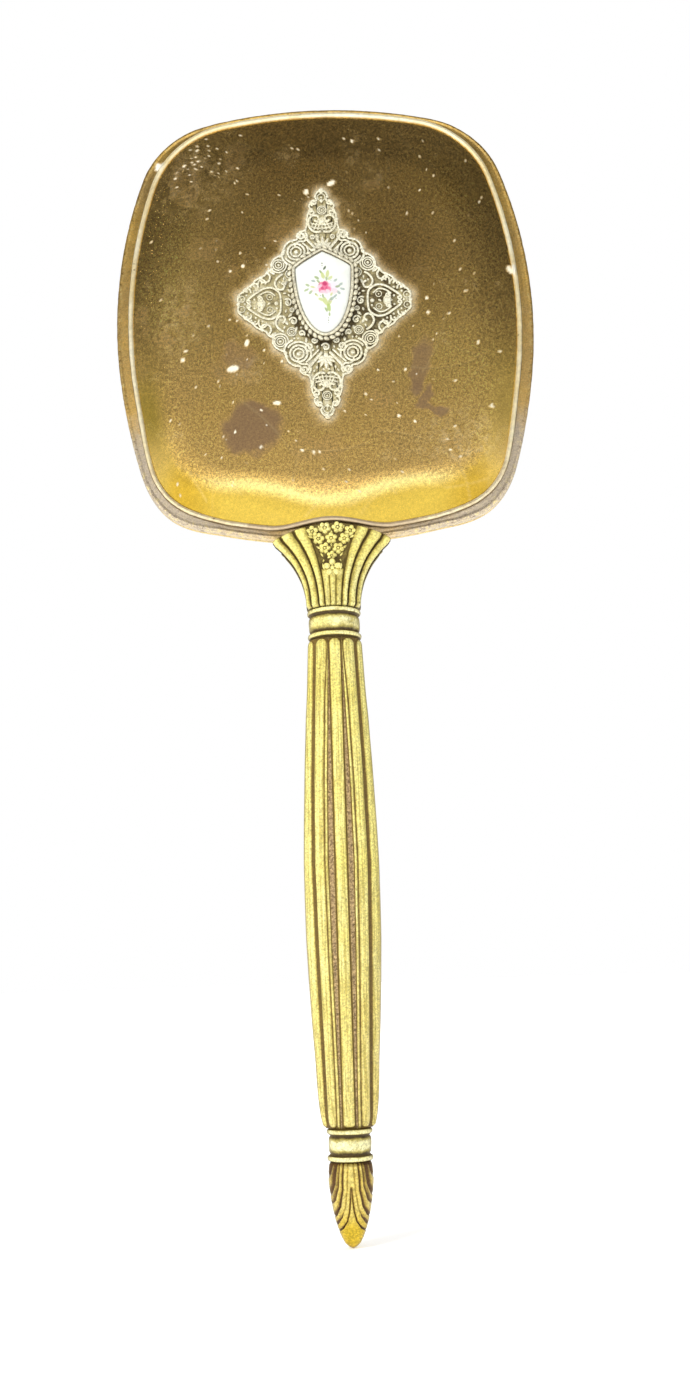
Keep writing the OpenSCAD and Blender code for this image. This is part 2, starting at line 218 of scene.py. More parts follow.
def cushion(half_w, half_h, count):
    """Even points round eight tangent arcs from mid height at +X, with outward normals."""
    side_x, end_z = half_w - SIDE_R, half_h - END_R          # centres of side and end arcs
    side_reach, end_reach = SIDE_R - CORNER_R, END_R - CORNER_R
    gap = math.hypot(side_x, end_z)
    along = (side_reach * side_reach - end_reach * end_reach + gap * gap) / (2 * gap)
    off = math.sqrt(side_reach * side_reach - along * along)
    dir_x, dir_z = -side_x / gap, end_z / gap
    x, z = side_x + dir_x * along - dir_z * off, dir_z * along + dir_x * off
    side = math.atan2(z, x - side_x)
    end = math.atan2(x, z - end_z)
    quarter = math.pi / 2
    # centre x, centre z, radius, first angle, last angle
    arcs = np.array([
        (side_x, 0, SIDE_R, 0, side),
        (x, z, CORNER_R, side, quarter - end),
        (0, end_z, END_R, quarter - end, quarter + end),
        (-x, z, CORNER_R, quarter + end, math.pi - side),
        (-side_x, 0, SIDE_R, math.pi - side, math.pi + side),
        (-x, -z, CORNER_R, math.pi + side, 3 * quarter - end),
        (0, -end_z, END_R, 3 * quarter - end, 3 * quarter + end),
        (x, -z, CORNER_R, 3 * quarter + end, 4 * quarter - side),
        (side_x, 0, SIDE_R, 4 * quarter - side, 4 * quarter)])
    ends = np.r_[0, np.cumsum(arcs[:, 2] * (arcs[:, 4] - arcs[:, 3]))]
    place = np.arange(count) / count * ends[-1]
    k = np.clip(np.searchsorted(ends, place, side="right") - 1, 0, 8)
    angle = arcs[k, 3] + (place - ends[k]) / arcs[k, 2]
    normal = np.c_[np.cos(angle), np.sin(angle)]
    return arcs[k, :2] + arcs[k, 2:3] * normal, normal


OUT_P, OUT_N = cushion(HEAD_HALF_W, HEAD_HALF_H, RIM_COUNT)


def settle(x, z, corner=0.8):
    """Flatten the head's lower edge in the middle and fill out its two corners."""
    low = ease(-36, -62, z)
    full = bell(np.abs(x) - 51, 10.5) * ease(-22, -50, z)
    return (x + np.sign(x) * corner * full,
            z + 1.5 * low * (1 - ease(33, 50, np.abs(x))) - 0.45 * corner * full * low)


def ring_sweep(section, wobble, seed):
    """Sweep a section of (inset, y) round the head. Also returns each point's inset and y."""
    section = refine(np.array(section, float))
    count = len(section)
    uneven = noise(np.arange(RIM_COUNT)[:, None] * 0.35, section[None, :, 0] * 2.0 + 11, seed, 3)
    uneven = (uneven - 0.5) * 2 * wobble
    inset = section[:, 0] - uneven * 0.6
    x, z = settle(OUT_P[:, :1] - OUT_N[:, :1] * inset, OUT_P[:, 1:] - OUT_N[:, 1:] * inset)
    points = np.stack([x, section[:, 1] + uneven, z + HEAD_Z], -1).reshape(-1, 3)
    return (points, grid_faces(RIM_COUNT, count, True, True),
            np.tile(section[:, 0], RIM_COUNT), np.tile(section[:, 1], RIM_COUNT))


# ------------------------------------------------------------------ materials
class Nodes:
    """A node tree with short calls for the nodes used here."""

    def __init__(self, owner, output="ShaderNodeOutputMaterial"):
        owner.use_nodes = True
        self.owner = owner
        self.tree = owner.node_tree
        self.tree.nodes.clear()
        self.output = self.node(output)

    def put(self, socket, value):
        if isinstance(value, bpy.types.NodeSocket):
            self.tree.links.new(value, socket)
        else:
            socket.default_value = value

    def node(self, kind, **settings):
        """A node; settings are inputs (with _ for a space) or properties."""
        node = self.tree.nodes.new(kind)
        for key, value in settings.items():
            label = key.replace("_", " ")
            if label in node.inputs:
                self.put(node.inputs[label], value)
            else:
                setattr(node, key, value)
        return node

    def coord(self, kind="Object"):
        return self.node("ShaderNodeTexCoord").outputs[kind]

    def axes(self, vector):
        return self.node("ShaderNodeSeparateXYZ", Vector=vector).outputs

    def stretch(self, vector, factors):
        node = self.node("ShaderNodeVectorMath", operation="MULTIPLY", Vector=vector)
        node.inputs[1].default_value = factors
        return node.outputs[0]

    def noise(self, vector, scale, detail=4, rough=0.55):
        return self.node("ShaderNodeTexNoise", Vector=vector, Scale=scale, Detail=detail,
                         Roughness=rough).outputs["Fac"]

    def dots(self, vector, scale, gate, size):
        """Round dots in the few cells that pass the gate."""
        cells = self.node("ShaderNodeTexVoronoi", Vector=vector, Scale=scale)
        chosen = self.rise(cells.outputs["Color"], *gate, linear=True)
        return self.mul(self.fall(cells.outputs["Distance"], *size), chosen)

    def attr(self, name, output="Fac"):
        return self.node("ShaderNodeAttribute", attribute_name=name).outputs[output]

    def math(self, operation, first, second=None, clamp=False):
        node = self.node("ShaderNodeMath", operation=operation, use_clamp=clamp)
        self.put(node.inputs[0], first)
        if second is not None:
            self.put(node.inputs[1], second)
        return node.outputs[0]

    def add(self, first, second, clamp=False):
        return self.math("ADD", first, second, clamp)

    def sub(self, first, second, clamp=False):
        return self.math("SUBTRACT", first, second, clamp)

    def mul(self, first, second, clamp=False):
        return self.math("MULTIPLY", first, second, clamp)

    def larger(self, first, second, clamp=False):
        return self.math("MAXIMUM", first, second, clamp)

    def centred(self, value, gain):
        """Noise moved to swing about zero, times gain."""
        return self.mul(self.sub(value, 0.5), gain)

    def ramp(self, factor, *stops, linear=False):
        """Ramp through (position, grey or colour) stops."""
        node = self.node("ShaderNodeValToRGB")
        ramp = node.color_ramp
        ramp.interpolation = "LINEAR" if linear else "EASE"
        while len(ramp.elements) < len(stops):
            ramp.elements.new(0.5)
        for element, (place, colour) in zip(ramp.elements, stops):
            element.position = place
            element.color = (*colour, 1) if hasattr(colour, "__len__") else (*[colour] * 3, 1)
        self.put(node.inputs[0], factor)
        return node.outputs[0]

    def rise(self, factor, start, end, linear=False):
        return self.ramp(factor, (start, 0.0), (end, 1.0), linear=linear)

    def fall(self, factor, start, end):
        return self.ramp(factor, (start, 1.0), (end, 0.0), linear=True)

    def mix(self, factor, first, second, blend="MIX"):
        node = self.node("ShaderNodeMix", data_type="RGBA", blend_type=blend)
        self.put(node.inputs[0], factor)
        for socket, colour in ((node.inputs[6], first), (node.inputs[7], second)):
            self.put(socket, (*colour, 1) if isinstance(colour, tuple) else colour)
        return node.outputs[2]

    def tint(self, first, second):
        return self.mix(1.0, first, second, "MULTIPLY")

    def bump(self, height, strength, distance):
        return self.node("ShaderNodeBump", Strength=strength, Distance=distance,
                         Height=height).outputs[0]

    def surface(self, colour, metallic, rough, **more):
        """Finish with a principled surface and return the material."""
        shader = self.node("ShaderNodeBsdfPrincipled", Base_Color=colour, Metallic=metallic,
                           Roughness=rough, **more)
        self.put(self.output.inputs[0], shader.outputs[0])
        return self.owner


def material_nodes(name):
    return Nodes(bpy.data.materials.new(name))


def gilt(name, light, deep, dark, rough, grain, metal=1.0, mid=None, warm=None, tarnish=None,
         lines=False, floor=False, spots=False, edge=0.0, bump=0.275, contrast=1.0):
    """Aged gilt brass that runs from light and deep through mid to dark as its darkness
    attribute rises; that darkness is painted shade over the relief and patina in its hollows.

    warm and tarnish are colours laid on by their attributes; lines draws upright tool marks,
    floor and spots use their attributes, edge paints shade on what is seen side on, grain is the
    fine noise's scale and contrast its strength.
    """
    t = material_nodes(name)
    co = t.coord()
    big = t.noise(co, scale=55, rough=0.6)
    fine = t.noise(co, scale=grain, detail=3, rough=0.6)
    cav = t.attr("cav")
    base = t.mix(t.rise(big, 0.3, 0.72), light, deep)
    if warm:
        base = t.mix(t.attr("warm"), base, warm)
    if tarnish:
        cover = t.add(t.attr("tarn"), t.centred(t.noise(co, scale=300, rough=0.7), gain=0.9),
                      clamp=True)
        base = t.mix(t.rise(cover, 0.3, 0.7), base, tarnish)
    if lines:
        line = t.noise(t.stretch(co, (1, 1, 0.02)), scale=2400, detail=2, rough=0.5)
        base = t.mix(t.mul(t.rise(line, 0.46, 0.62, linear=True), 0.72), base,
                     (0.44, 0.35, 0.065))
    uneven = t.centred(t.noise(co, scale=260, rough=0.7), gain=0.75)
    # painted shade and patina: the darkness attribute plus noise, turned into the dark colour
    # below
    shade_and_hollow_level = t.mul(t.add(cav, uneven), 1.0, clamp=True)
    shade_and_hollow_mix = t.rise(shade_and_hollow_level, 0.34, 0.95)
    # mid: painted half-shade as the darkness rises
    if mid:
        base = t.mix(t.rise(shade_and_hollow_level, 0.06, 0.50), base, mid)
    colour = t.mix(shade_and_hollow_mix, base, dark)
    if floor:
        specks = t.noise(co, scale=1300, detail=3, rough=0.75)
        tan = t.mix(t.rise(specks, 0.36, 0.64, linear=True),
                    (0.13, 0.075, 0.025), (0.60, 0.42, 0.19))
        colour = t.mix(t.attr("floor"), colour, tan)
    colour = t.tint(colour, t.ramp(fine, (0.32, 1 - 0.42 * contrast),
                                   (0.66, 1 + 0.20 * contrast), linear=True))
    # rare pits, darker than the metal round them
    cells = t.node("ShaderNodeTexVoronoi", Vector=co, Scale=420)
    pit = t.mul(t.fall(cells.outputs["Distance"], 0.10, 0.2),
                t.rise(t.noise(co, scale=60, detail=2), 0.52, 0.66))
    colour = t.mix(t.mul(pit, 0.65), colour, dark)
    if spots:
        colour = t.mix(t.attr("spot"), colour, (0.92, 0.88, 0.74))
    # painted shade: darker where the surface is seen side on
    if edge:
        facing = t.node("ShaderNodeLayerWeight", Blend=0.5).outputs["Facing"]
        colour = t.mix(t.mul(t.rise(facing, 0.42, 0.80), edge), colour, (0.15, 0.10, 0.018))
    roughness = t.add(t.mul(shade_and_hollow_mix, 0.25), t.add(t.mul(big, 0.16), rough - 0.08))
    height = t.add(t.mul(fine, 0.6), t.mul(pit, -1.0))
    if lines:
        height = t.add(height, t.mul(line, 0.8))
    normal = t.bump(height, strength=bump, distance=0.00012)
    return t.surface(colour, t.mul(t.sub(1.0, t.mul(shade_and_hollow_mix, 0.55)), metal), roughness,
                     Normal=normal)


def plate_material():
    """Satin gilt plate under old lacquer: grain, stains, scratches and pale residue, with a
    painted highlight, painted reflection tone, painted shade and painted light laid on by
    attributes.
    """
    t = material_nodes("plate_gilt")
    co = t.coord()
    big = t.noise(co, scale=22, detail=5, rough=0.6)
    mid = t.noise(co, scale=130, rough=0.6)
    fine = t.noise(co, scale=2500, detail=2, rough=0.9)
    base = t.mix(t.rise(big, 0.3, 0.7), (0.82, 0.525, 0.15), (0.72, 0.47, 0.15))
    base = t.mix(t.mul(t.rise(mid, 0.48, 0.8), 0.25), base, (0.52, 0.37, 0.15))
    # painted highlight along the lower edge, painted reflection tone on the curved margins,
    # painted shade in the lower corners, painted light in soft areas (lift)
    for zone, tone in (("painted_highlight", (0.88, 0.74, 0.27)), ("painted_reflection_tone", (0.545, 0.385, 0.060)),
                       ("corner", (0.44, 0.275, 0.022)), ("lift", (0.98, 0.67, 0.19))):
        base = t.mix(t.attr(zone), base, tone)
    # painted shade: darker towards the top middle and in soft areas
    base = t.mix(t.attr("shade"), base, t.tint(base, (0.46, 0.40, 0.36)))
    # two sizes of grain, calmer on the lower edge
    grain = t.ramp(fine, (0.3, 0.42), (0.7, 1.55), linear=True)
    coarse = t.ramp(t.noise(co, scale=1150, detail=2, rough=0.6), (0.3, 0.66), (0.7, 1.36),
                    linear=True)
    calm = t.add(t.mul(t.larger(t.attr("painted_reflection_tone"), t.mul(t.attr("painted_highlight"), 0.75)), -0.72), 1.0)
    colour = t.mix(calm, base, t.tint(base, t.tint(grain, coarse)))
    stain = t.rise(t.add(t.attr("stain"), t.centred(mid, gain=0.5), clamp=True), 0.12, 0.92)
    colour = t.mix(t.mul(stain, 0.80), colour, (0.225, 0.135, 0.085))
    haze = t.mul(t.attr("haze"),
                 t.rise(t.noise(co, scale=420, detail=5, rough=0.75), 0.40, 0.75))
    # specks of pale residue, sharp and matt
    large = t.dots(co, scale=150, gate=(0.90, 0.93), size=(0.055, 0.085))
    small = t.dots(co, scale=420, gate=(0.955, 0.97), size=(0.12, 0.2))
    speck = t.larger(t.larger(large, small), t.attr("speck"), clamp=True)
    halo = t.mul(t.attr("halo"),
                 t.ramp(t.noise(co, scale=500, rough=0.7), (0.25, 0.55), (0.65, 1.0)))
    cream = t.add(t.add(t.mul(haze, 0.42), halo), speck, clamp=True)
    colour = t.mix(cream, colour, (0.88, 0.83, 0.64))
    pit = t.dots(co, scale=520, gate=(0.93, 0.95), size=(0.12, 0.22))
    colour = t.mix(t.mul(pit, 0.6), colour, (0.10, 0.05, 0.015))
    scratch = t.attr("scratch")
    colour = t.mix(t.mul(scratch, 0.32), colour, (0.88, 0.70, 0.34))
    metal = t.sub(0.97, t.add(t.mul(cream, 0.75), t.mul(stain, 0.20)), clamp=True)
    rough = t.add(t.mul(stain, 0.10), t.add(t.mul(big, 0.08), t.mul(cream, 0.3)))
    rough = t.add(rough, 0.22)
    height = t.add(t.mul(fine, 0.5), t.add(t.mul(scratch, -0.8), t.mul(speck, 1.2)))
    return t.surface(colour, metal, rough,
                     Normal=t.bump(height, strength=0.25, distance=0.00008))


def rim_material():
    """Outer band of the head: grey-brown tarnish, brown gilt and a granular worn lip."""
    t = material_nodes("rim_gilt")
    co = t.coord()
    big = t.noise(co, scale=40, rough=0.6)
    grain = t.noise(co, scale=760, rough=0.8)
    tarnish = t.attr("tarnish")
    lip = t.attr("lip")
    base = t.mix(t.rise(big, 0.35, 0.65), (0.92, 0.58, 0.14), (0.72, 0.47, 0.16))
    cover = t.add(tarnish, t.centred(t.noise(co, scale=150, rough=0.7), gain=0.6), clamp=True)
    colour = t.mix(t.rise(cover, 0.25, 0.75), base, (0.62, 0.52, 0.39))
    gold = t.rise(grain, 0.50, 0.62, linear=True)
    dark = t.fall(grain, 0.30, 0.45)
    colour = t.mix(t.mul(gold, t.add(t.mul(lip, 0.5), 0.22)), colour, (0.95, 0.78, 0.34))
    colour = t.mix(t.mul(dark, t.add(t.mul(lip, 0.50), 0.46)), colour, (0.15, 0.085, 0.03))
    fine = t.noise(co, scale=2200, detail=2, rough=0.6)
    colour = t.tint(colour, t.ramp(fine, (0.3, 0.75), (0.7, 1.15), linear=True))
    colour = t.mix(t.attr("spot"), colour, (0.88, 0.84, 0.70))
    metal = t.sub(0.95, t.larger(t.mul(cover, 0.3), t.mul(t.attr("spot"), 0.9)), clamp=True)
    height = t.add(grain, t.mul(fine, 0.4))
    return t.surface(colour, metal, t.add(t.mul(cover, 0.14), 0.36),
                     Normal=t.bump(height, strength=0.4, distance=0.00018))


def mirror_material():
    t = material_nodes("silvered_glass")
    co = t.coord()
    silver = t.ramp(t.noise(co, scale=12, detail=3, rough=0.5), (0.3, (0.86, 0.89, 0.90)),
                    (0.7, (0.90, 0.92, 0.92)), linear=True)
    lost = t.dots(co, scale=60, gate=(0.93, 0.95), size=(0.02, 0.05))
    # painted reflection: a soft room painted into the silver's colour by the direction of
    # reflection
    reflection = t.axes(t.coord("Reflection"))
    toward = t.add(t.mul(reflection["Z"], 0.42), t.add(t.mul(reflection["X"], 0.30), 0.5))
    room = t.ramp(toward, (0.10, (0.40, 0.44, 0.47)), (0.40, (0.62, 0.67, 0.70)),
                  (0.52, (0.80, 0.84, 0.86)), (0.66, (0.55, 0.60, 0.64)),
                  (0.90, (0.36, 0.40, 0.44)))
    colour = t.mix(t.mul(lost, 0.8), t.tint(silver, room), (0.12, 0.11, 0.10))
    smear = t.noise(t.stretch(co, (1, 1, 0.35)), scale=30, rough=0.6)
    return t.surface(colour, 1.0, t.add(t.mul(t.rise(smear, 0.5, 0.8), 0.03), 0.012))


def enamel_material():
    t = material_nodes("painted_enamel")
    co = t.coord()
    mottle = t.ramp(t.noise(co, scale=500, detail=3, rough=0.6), (0.3, 0.965), (0.7, 1.0),
                    linear=True)
    colour = t.tint(t.attr("paint", "Color"), mottle)
    normal = t.bump(t.noise(co, scale=300, detail=2, rough=0.5), strength=0.05, distance=0.0001)
    return t.surface(colour, 0.0, 0.12, Normal=normal, Coat_Weight=0.6, Coat_Roughness=0.05)


def plain(name, first, second, scale, rough, metallic=0.0, stretch=(1, 1, 1), bump=0.3):
    """Two mottled tones, drawn out along an axis where stretch is small."""
    t = material_nodes(name)
    co = t.stretch(t.coord(), stretch)
    coarse = t.noise(co, scale=scale, detail=5, rough=0.65)
    fine = t.noise(co, scale=scale * 7, detail=3, rough=0.6)
    colour = t.tint(t.mix(t.rise(coarse, 0.3, 0.7), first, second),
                    t.ramp(fine, (0.3, 0.85), (0.7, 1.1), linear=True))
    return t.surface(colour, metallic, t.add(t.mul(coarse, 0.15), rough),
                     Normal=t.bump(fine, strength=bump, distance=0.0003))


HANDLE = gilt("handle_gilt", light=(0.95, 0.87, 0.33), deep=(0.88, 0.77, 0.20),
              dark=(0.17, 0.105, 0.018), mid=(0.54, 0.42, 0.09), warm=(0.66, 0.46, 0.13),
              rough=0.40, grain=1900, metal=0.14, lines=True, floor=True, edge=0.70)
FINIAL = gilt("finial_gilt", light=(0.84, 0.70, 0.22), deep=(0.74, 0.56, 0.11),
              dark=(0.12, 0.055, 0.010), mid=(0.58, 0.42, 0.075), warm=(0.66, 0.46, 0.025),
              rough=0.32, grain=1700, metal=0.5, edge=0.45)
SOCKET = gilt("socket_gilt", light=(0.95, 0.88, 0.36), deep=(0.86, 0.75, 0.20),
              dark=(0.085, 0.055, 0.010), mid=(0.54, 0.44, 0.10),
              rough=0.40, grain=1500, metal=0.14, edge=0.60)
COLLAR = gilt("collar_gilt", light=(0.96, 0.91, 0.50), deep=(0.88, 0.77, 0.25),
              dark=(0.075, 0.045, 0.008), mid=(0.50, 0.41, 0.095),
              rough=0.40, grain=1700, metal=0.12, edge=0.65)
BEZEL = gilt("bezel_gilt", light=(0.80, 0.60, 0.22), deep=(0.66, 0.44, 0.12),
             dark=(0.10, 0.06, 0.02), rough=0.28, grain=1100, bump=0.205)
WIRE = gilt("edge_gilt", light=(0.98, 0.92, 0.68), deep=(0.84, 0.68, 0.34),
            dark=(0.16, 0.10, 0.035), tarnish=(0.60, 0.47, 0.30), rough=0.34, grain=900,
            metal=0.55, bump=0.205, contrast=0.35, spots=True)
CUP = gilt("cup_gilt", light=(0.82, 0.78, 0.60), deep=(0.66, 0.61, 0.44),
           dark=(0.045, 0.03, 0.012), mid=(0.30, 0.255, 0.15),
           rough=0.36, grain=1700, metal=0.35)
FILIGREE = gilt("filigree_gilt", light=(0.88, 0.85, 0.68), deep=(0.80, 0.75, 0.54),
                dark=(0.085, 0.060, 0.020), mid=(0.50, 0.43, 0.22),
                rough=0.42, grain=1900, metal=0.25)
PLATE = plate_material()
RIM = rim_material()
MIRROR = mirror_material()
ENAMEL = enamel_material()
CARD = plain("grey_board", (0.36, 0.28, 0.18), (0.46, 0.37, 0.25), scale=160, rough=0.8)
FELT = plain("pressed_felt", (0.30, 0.035, 0.06), (0.40, 0.06, 0.09), scale=700, rough=0.85,
             bump=0.6)
STEEL = plain("plain_steel", (0.50, 0.50, 0.48), (0.60, 0.60, 0.58), scale=120, rough=0.32,
              metallic=1.0, stretch=(1, 1, 0.1))
WOOD = plain("turned_wood", (0.45, 0.30, 0.16), (0.58, 0.41, 0.23), scale=120, rough=0.55,
             stretch=(1, 1, 0.12))

# CAD pieces that stay as they are, with a material each
for node, material in (("backing_card", CARD), ("padding_sheet", FELT), ("cabochon_pad", CARD),
                       ("tang_plate", STEEL), ("tang_rivets", STEEL), ("tang_lock_nut", STEEL),
                       ("tie_rod", STEEL), ("grip_plug_upper", WOOD),
                       ("grip_plug_lower", WOOD)):
    kept = frame["nodes"][node]
    kept.data.materials.clear()
    kept.data.materials.append(material)

# ------------------------------------------------------------------ head: rim
# section: inset from the outline, y
RIM_SECTION = [
    [0.95, -3.2], [0.95, -1.0], [5.5, -1.0], [9.9, -1.0], [9.9, 0.22], [5.6, 0.22],
    [3.6, 0.20], [2.2, 0.02], [1.25, -0.02], [0.9, 0.12], [0.45, 0.10], [0.08, -0.35],
    [0, -1.2], [0, -2.2], [0, -3.2]]
# two pale blots: x, z from the head's centre
WIRE_BLOT, SHARED_BLOT = (-57.9, 14.3), (50.5, 52.8)
BLOT_R = 1.5


def blot(x, z, centre):
    ragged = 1 + 0.5 * (noise(x / 0.8 + 3, z / 0.8, 77, 2) - 0.5)
    reach = np.hypot(x - centre[0], (z - centre[1]) * 0.9) * ragged
    return 1 - ease(BLOT_R * 0.78, BLOT_R * 1.08, reach)


def rim_band():
    points, faces, inset, depth = ring_sweep(RIM_SECTION, wobble=0.05, seed=5)
    per_ring = len(points) // RIM_COUNT
    angle = np.repeat(np.arctan2(OUT_P[:, 1], OUT_P[:, 0]), per_ring)
    x, z, normal_x, normal_z = (np.repeat(column, per_ring) for column in (*OUT_P.T, *OUT_N.T))
    lip = 1 - ease(0.7, 1.7, inset)
    tarnish = (ease(-18, -45, z) * (0.72 - 0.42 * bell(x, 28.0))
               + 0.15 * noise(x / 12, z / 12, 4))
    # worn outer lip: small irregular nicks
    nick = (noise(angle * 60, inset * 1.2, 9, 3) - 0.5) * lip
    points[:, 1] += nick * 0.16
    points[:, 0] -= normal_x * np.abs(nick) * 0.22
    points[:, 2] -= normal_z * np.abs(nick) * 0.22
    spot = blot(x - normal_x * inset, z - normal_z * inset, SHARED_BLOT) * (depth > -1.5)
    add_piece("rim_frame_band", points, flipped(faces), RIM, "frame_brass", "rim_frame",
              tarnish=tarnish, lip=lip, spot=spot)


rim_band()

# ------------------------------------------------------------------ head: front bezel
# section: inset from the outline, y
BEZEL_SECTION = [
    [1.0, -1.9], [1.0, -3.25], [0.1, -3.35], [0.0, -4.0], [0.05, -4.8], [0.5, -6.2],
    [1.2, -7.1], [2.2, -7.75], [3.4, -8.08], [4.8, -8.09], [6.0, -8.02], [6.9, -7.75],
    [7.15, -7.35], [7.5, -7.2], [8.2, -7.15], [8.9, -6.6], [9.2, -5.7], [9.2, -4.7],
    [8.5, -4.7], [8.2, -6.0], [7.4, -6.75], [6.0, -7.3], [3.7, -7.35], [2.4, -7.0],
    [1.4, -6.0], [0.8, -4.5], [0.95, -4.05], [1.75, -3.95], [1.75, -1.9]]


def bezel_ring():
    points, faces, inset, depth = ring_sweep(BEZEL_SECTION, wobble=0.012, seed=21)
    # darkness in the bezel's grooves and inner side: patina and painted shade
    cav = (bell(inset - 7.2, 0.28) * (depth < -6.9) * 0.9 + (inset > 8.8) * 0.45
           + bell(depth + 3.3, 0.25) * 0.8)
    add_piece("front_bezel_ring", points, faces, BEZEL, "bezel_brass", "front_bezel", cav=cav)


bezel_ring()


# ------------------------------------------------------------------ head: bevelled glass
def mirror_glass():
    lo, hi = box_mm("mirror_glass")
    inset = HEAD_HALF_W - (hi[0] - lo[0]) / 2
    rings = []
    # inset, y: back edge, wall, small arris, inner end of the bevel
    for inward, y in ((inset, hi[1]), (inset, lo[1] + 0.8), (inset + 0.12, lo[1] + 0.72),
                      (inset + 10.0, lo[1])):
        x, z = settle(*(OUT_P - OUT_N * inward).T)
        rings.append(np.c_[x, np.full(RIM_COUNT, y), z + HEAD_Z])
    faces = grid_faces(4, RIM_COUNT, False, True)
    faces += [list(range(RIM_COUNT)), list(range(4 * RIM_COUNT - 1, 3 * RIM_COUNT - 1, -1))]
    mesh = add_piece("mirror_glass_plate", np.concatenate(rings), faces, MIRROR,
                     "mirror_glass", "mirror_glass").data
    smooth = np.ones(len(mesh.polygons), bool)
    smooth[-2:] = False
    mesh.polygons.foreach_set("use_smooth", smooth)
    # crisp edges along each ring
    ends = np.zeros(len(mesh.edges) * 2, int)
    mesh.edges.foreach_get("vertices", ends)
    ring = ends.reshape(-1, 2) // RIM_COUNT
    sharp = mesh.attributes.new("sharp_edge", "BOOLEAN", "EDGE")
    sharp.data.foreach_set("value", ring[:, 0] == ring[:, 1])


mirror_glass()

# ------------------------------------------------------------------ medallion outline
# one quarter of the outline from top tip to wing tip: x, z from the medallion's centre
BORDER = np.array([
    (0, 37.3), (1.3, 36.6), (1.9, 35.2), (1.5, 33.9), (3.2, 33.2), (3.9, 31.9), (3.3, 30.6),
    (4.3, 29.5), (4.6, 27.6), (4.9, 25.2), (5.4, 23.9), (7.0, 23.4), (7.8, 22.2), (8.0, 20.9),
    (9.6, 20.6), (11.3, 19.5), (12.2, 17.6), (12.2, 16.2), (13.6, 15.6), (15.3, 14.5),
    (16.1, 12.9), (16.2, 11.2), (17.4, 10.6), (18.2, 9.3), (19.6, 8.6), (21.2, 7.7),
    (22.2, 6.3), (23.4, 5.6), (24.4, 4.5), (25.6, 3.7), (26.6, 2.6), (26.7, 1.2), (26.3, 0.0)])
# signs of x and z in the four quarters, in two orders
ACROSS_FIRST = ((1, 1), (-1, 1), (1, -1), (-1, -1))
DOWN_FIRST = ((1, 1), (1, -1), (-1, 1), (-1, -1))
medal_lo, medal_hi = box_mm("filigree_medallion")
MEDAL_Z = (medal_lo[2] + medal_hi[2]) / 2


def border_half_width(z):
    return np.interp(z, BORDER[::-1, 1], BORDER[::-1, 0])


# ------------------------------------------------------------------ head: back plate
BAND_Y = 0.25                     # back face of the rim's band
WIRE_R = 0.82
WIRE_MARGIN = 0.95                # from the wire's box to its centre line
wire_lo, wire_hi = box_mm("edge_wire")
PLATE_COUNT = 640
WIRE_P, WIRE_N = cushion((wire_hi[0] - wire_lo[0]) / 2 - WIRE_MARGIN,
                         wire_hi[2] - WIRE_MARGIN - HEAD_Z, PLATE_COUNT)
NOTCH_HALF_W, NOTCH_H = 19.0, 3.15          # rise of the lower edge over the socket
TURN = 17.5                                 # width of the plate's curved margin
CROWN = box_mm("back_plate")[1][1]
FLAT_INSET = 24.0                           # from here inward the rings shrink evenly
SHEET = 0.6
EDGE_INSET = 0.55                           # outermost ring of the plate


def notch_rise(x, z):
    arch = np.cos(np.pi / 2 * np.clip(x / NOTCH_HALF_W, -1, 1)) ** 2
    return np.where((z < 0) & (np.abs(x) < NOTCH_HALF_W), NOTCH_H * arch, 0.0)


def low_middle(x, z):
    return np.where(z < 0, 2.4 * bell(x, 13.0), 0)


def corner_fill(x, z, inset):
    return 4.2 * ease(24, 44, np.abs(x)) * ease(10, -48, z) * ease(1, 9, inset)


def plate_ring(inset, share=None):
    """x, y, z of one ring; share is how much of the notch's rise it takes."""
    x, base_z = (WIRE_P - WIRE_N * inset).T
    share = max(0.0, 1 - inset / 18.0) if share is None else share
    rise = notch_rise(x, base_z) * share
    z = base_z + rise
    flat = low_middle(x, base_z) * min(1.0, max(0, 1 - inset / FLAT_INSET))
    depth = inset + rise + flat + corner_fill(x, z, inset)
    part = np.clip(depth, 0, TURN) / TURN
    foot = BAND_Y + 0.85
    x, z = settle(x, z, 1.5)
    return x, foot + (CROWN - foot) * (1 - (1 - part) ** 2.05), z


# stains: strength, x, z, half-width, half-height, turn (all from the head's centre)
STAINS = [(1.0, 23.2, -35.3, 8.4, 8.6), (0.62, 27, -12.2, 5.4, 5.0),
          (0.8, -28.6, -17.5, 3.3, 9.5, 0.14), (0.8, -30.6, -27.5, 1.8, 5.0, 0.42),
          (0.8, -31.1, -31.4, 5.4, 1.3, 0.16), (0.40, 36.5, 23.0, 6.5, 3.6, -0.2),
          (0.25, 10, -48, 30, 3.5)]
# haze: the same, then softness
HAZES = [(0.40, 38, 46, 15, 9, -0.5, 0.8), (0.5, 24, -17, 5, 4, 0, 0.6),
         (0.5, -40, -42, 12, 9, 0, 0.7), (0.4, 44, 0, 6, 12, 0, 0.7),
         (0.50, 41, 52, 9, 4.5, -0.6, 0.6)]
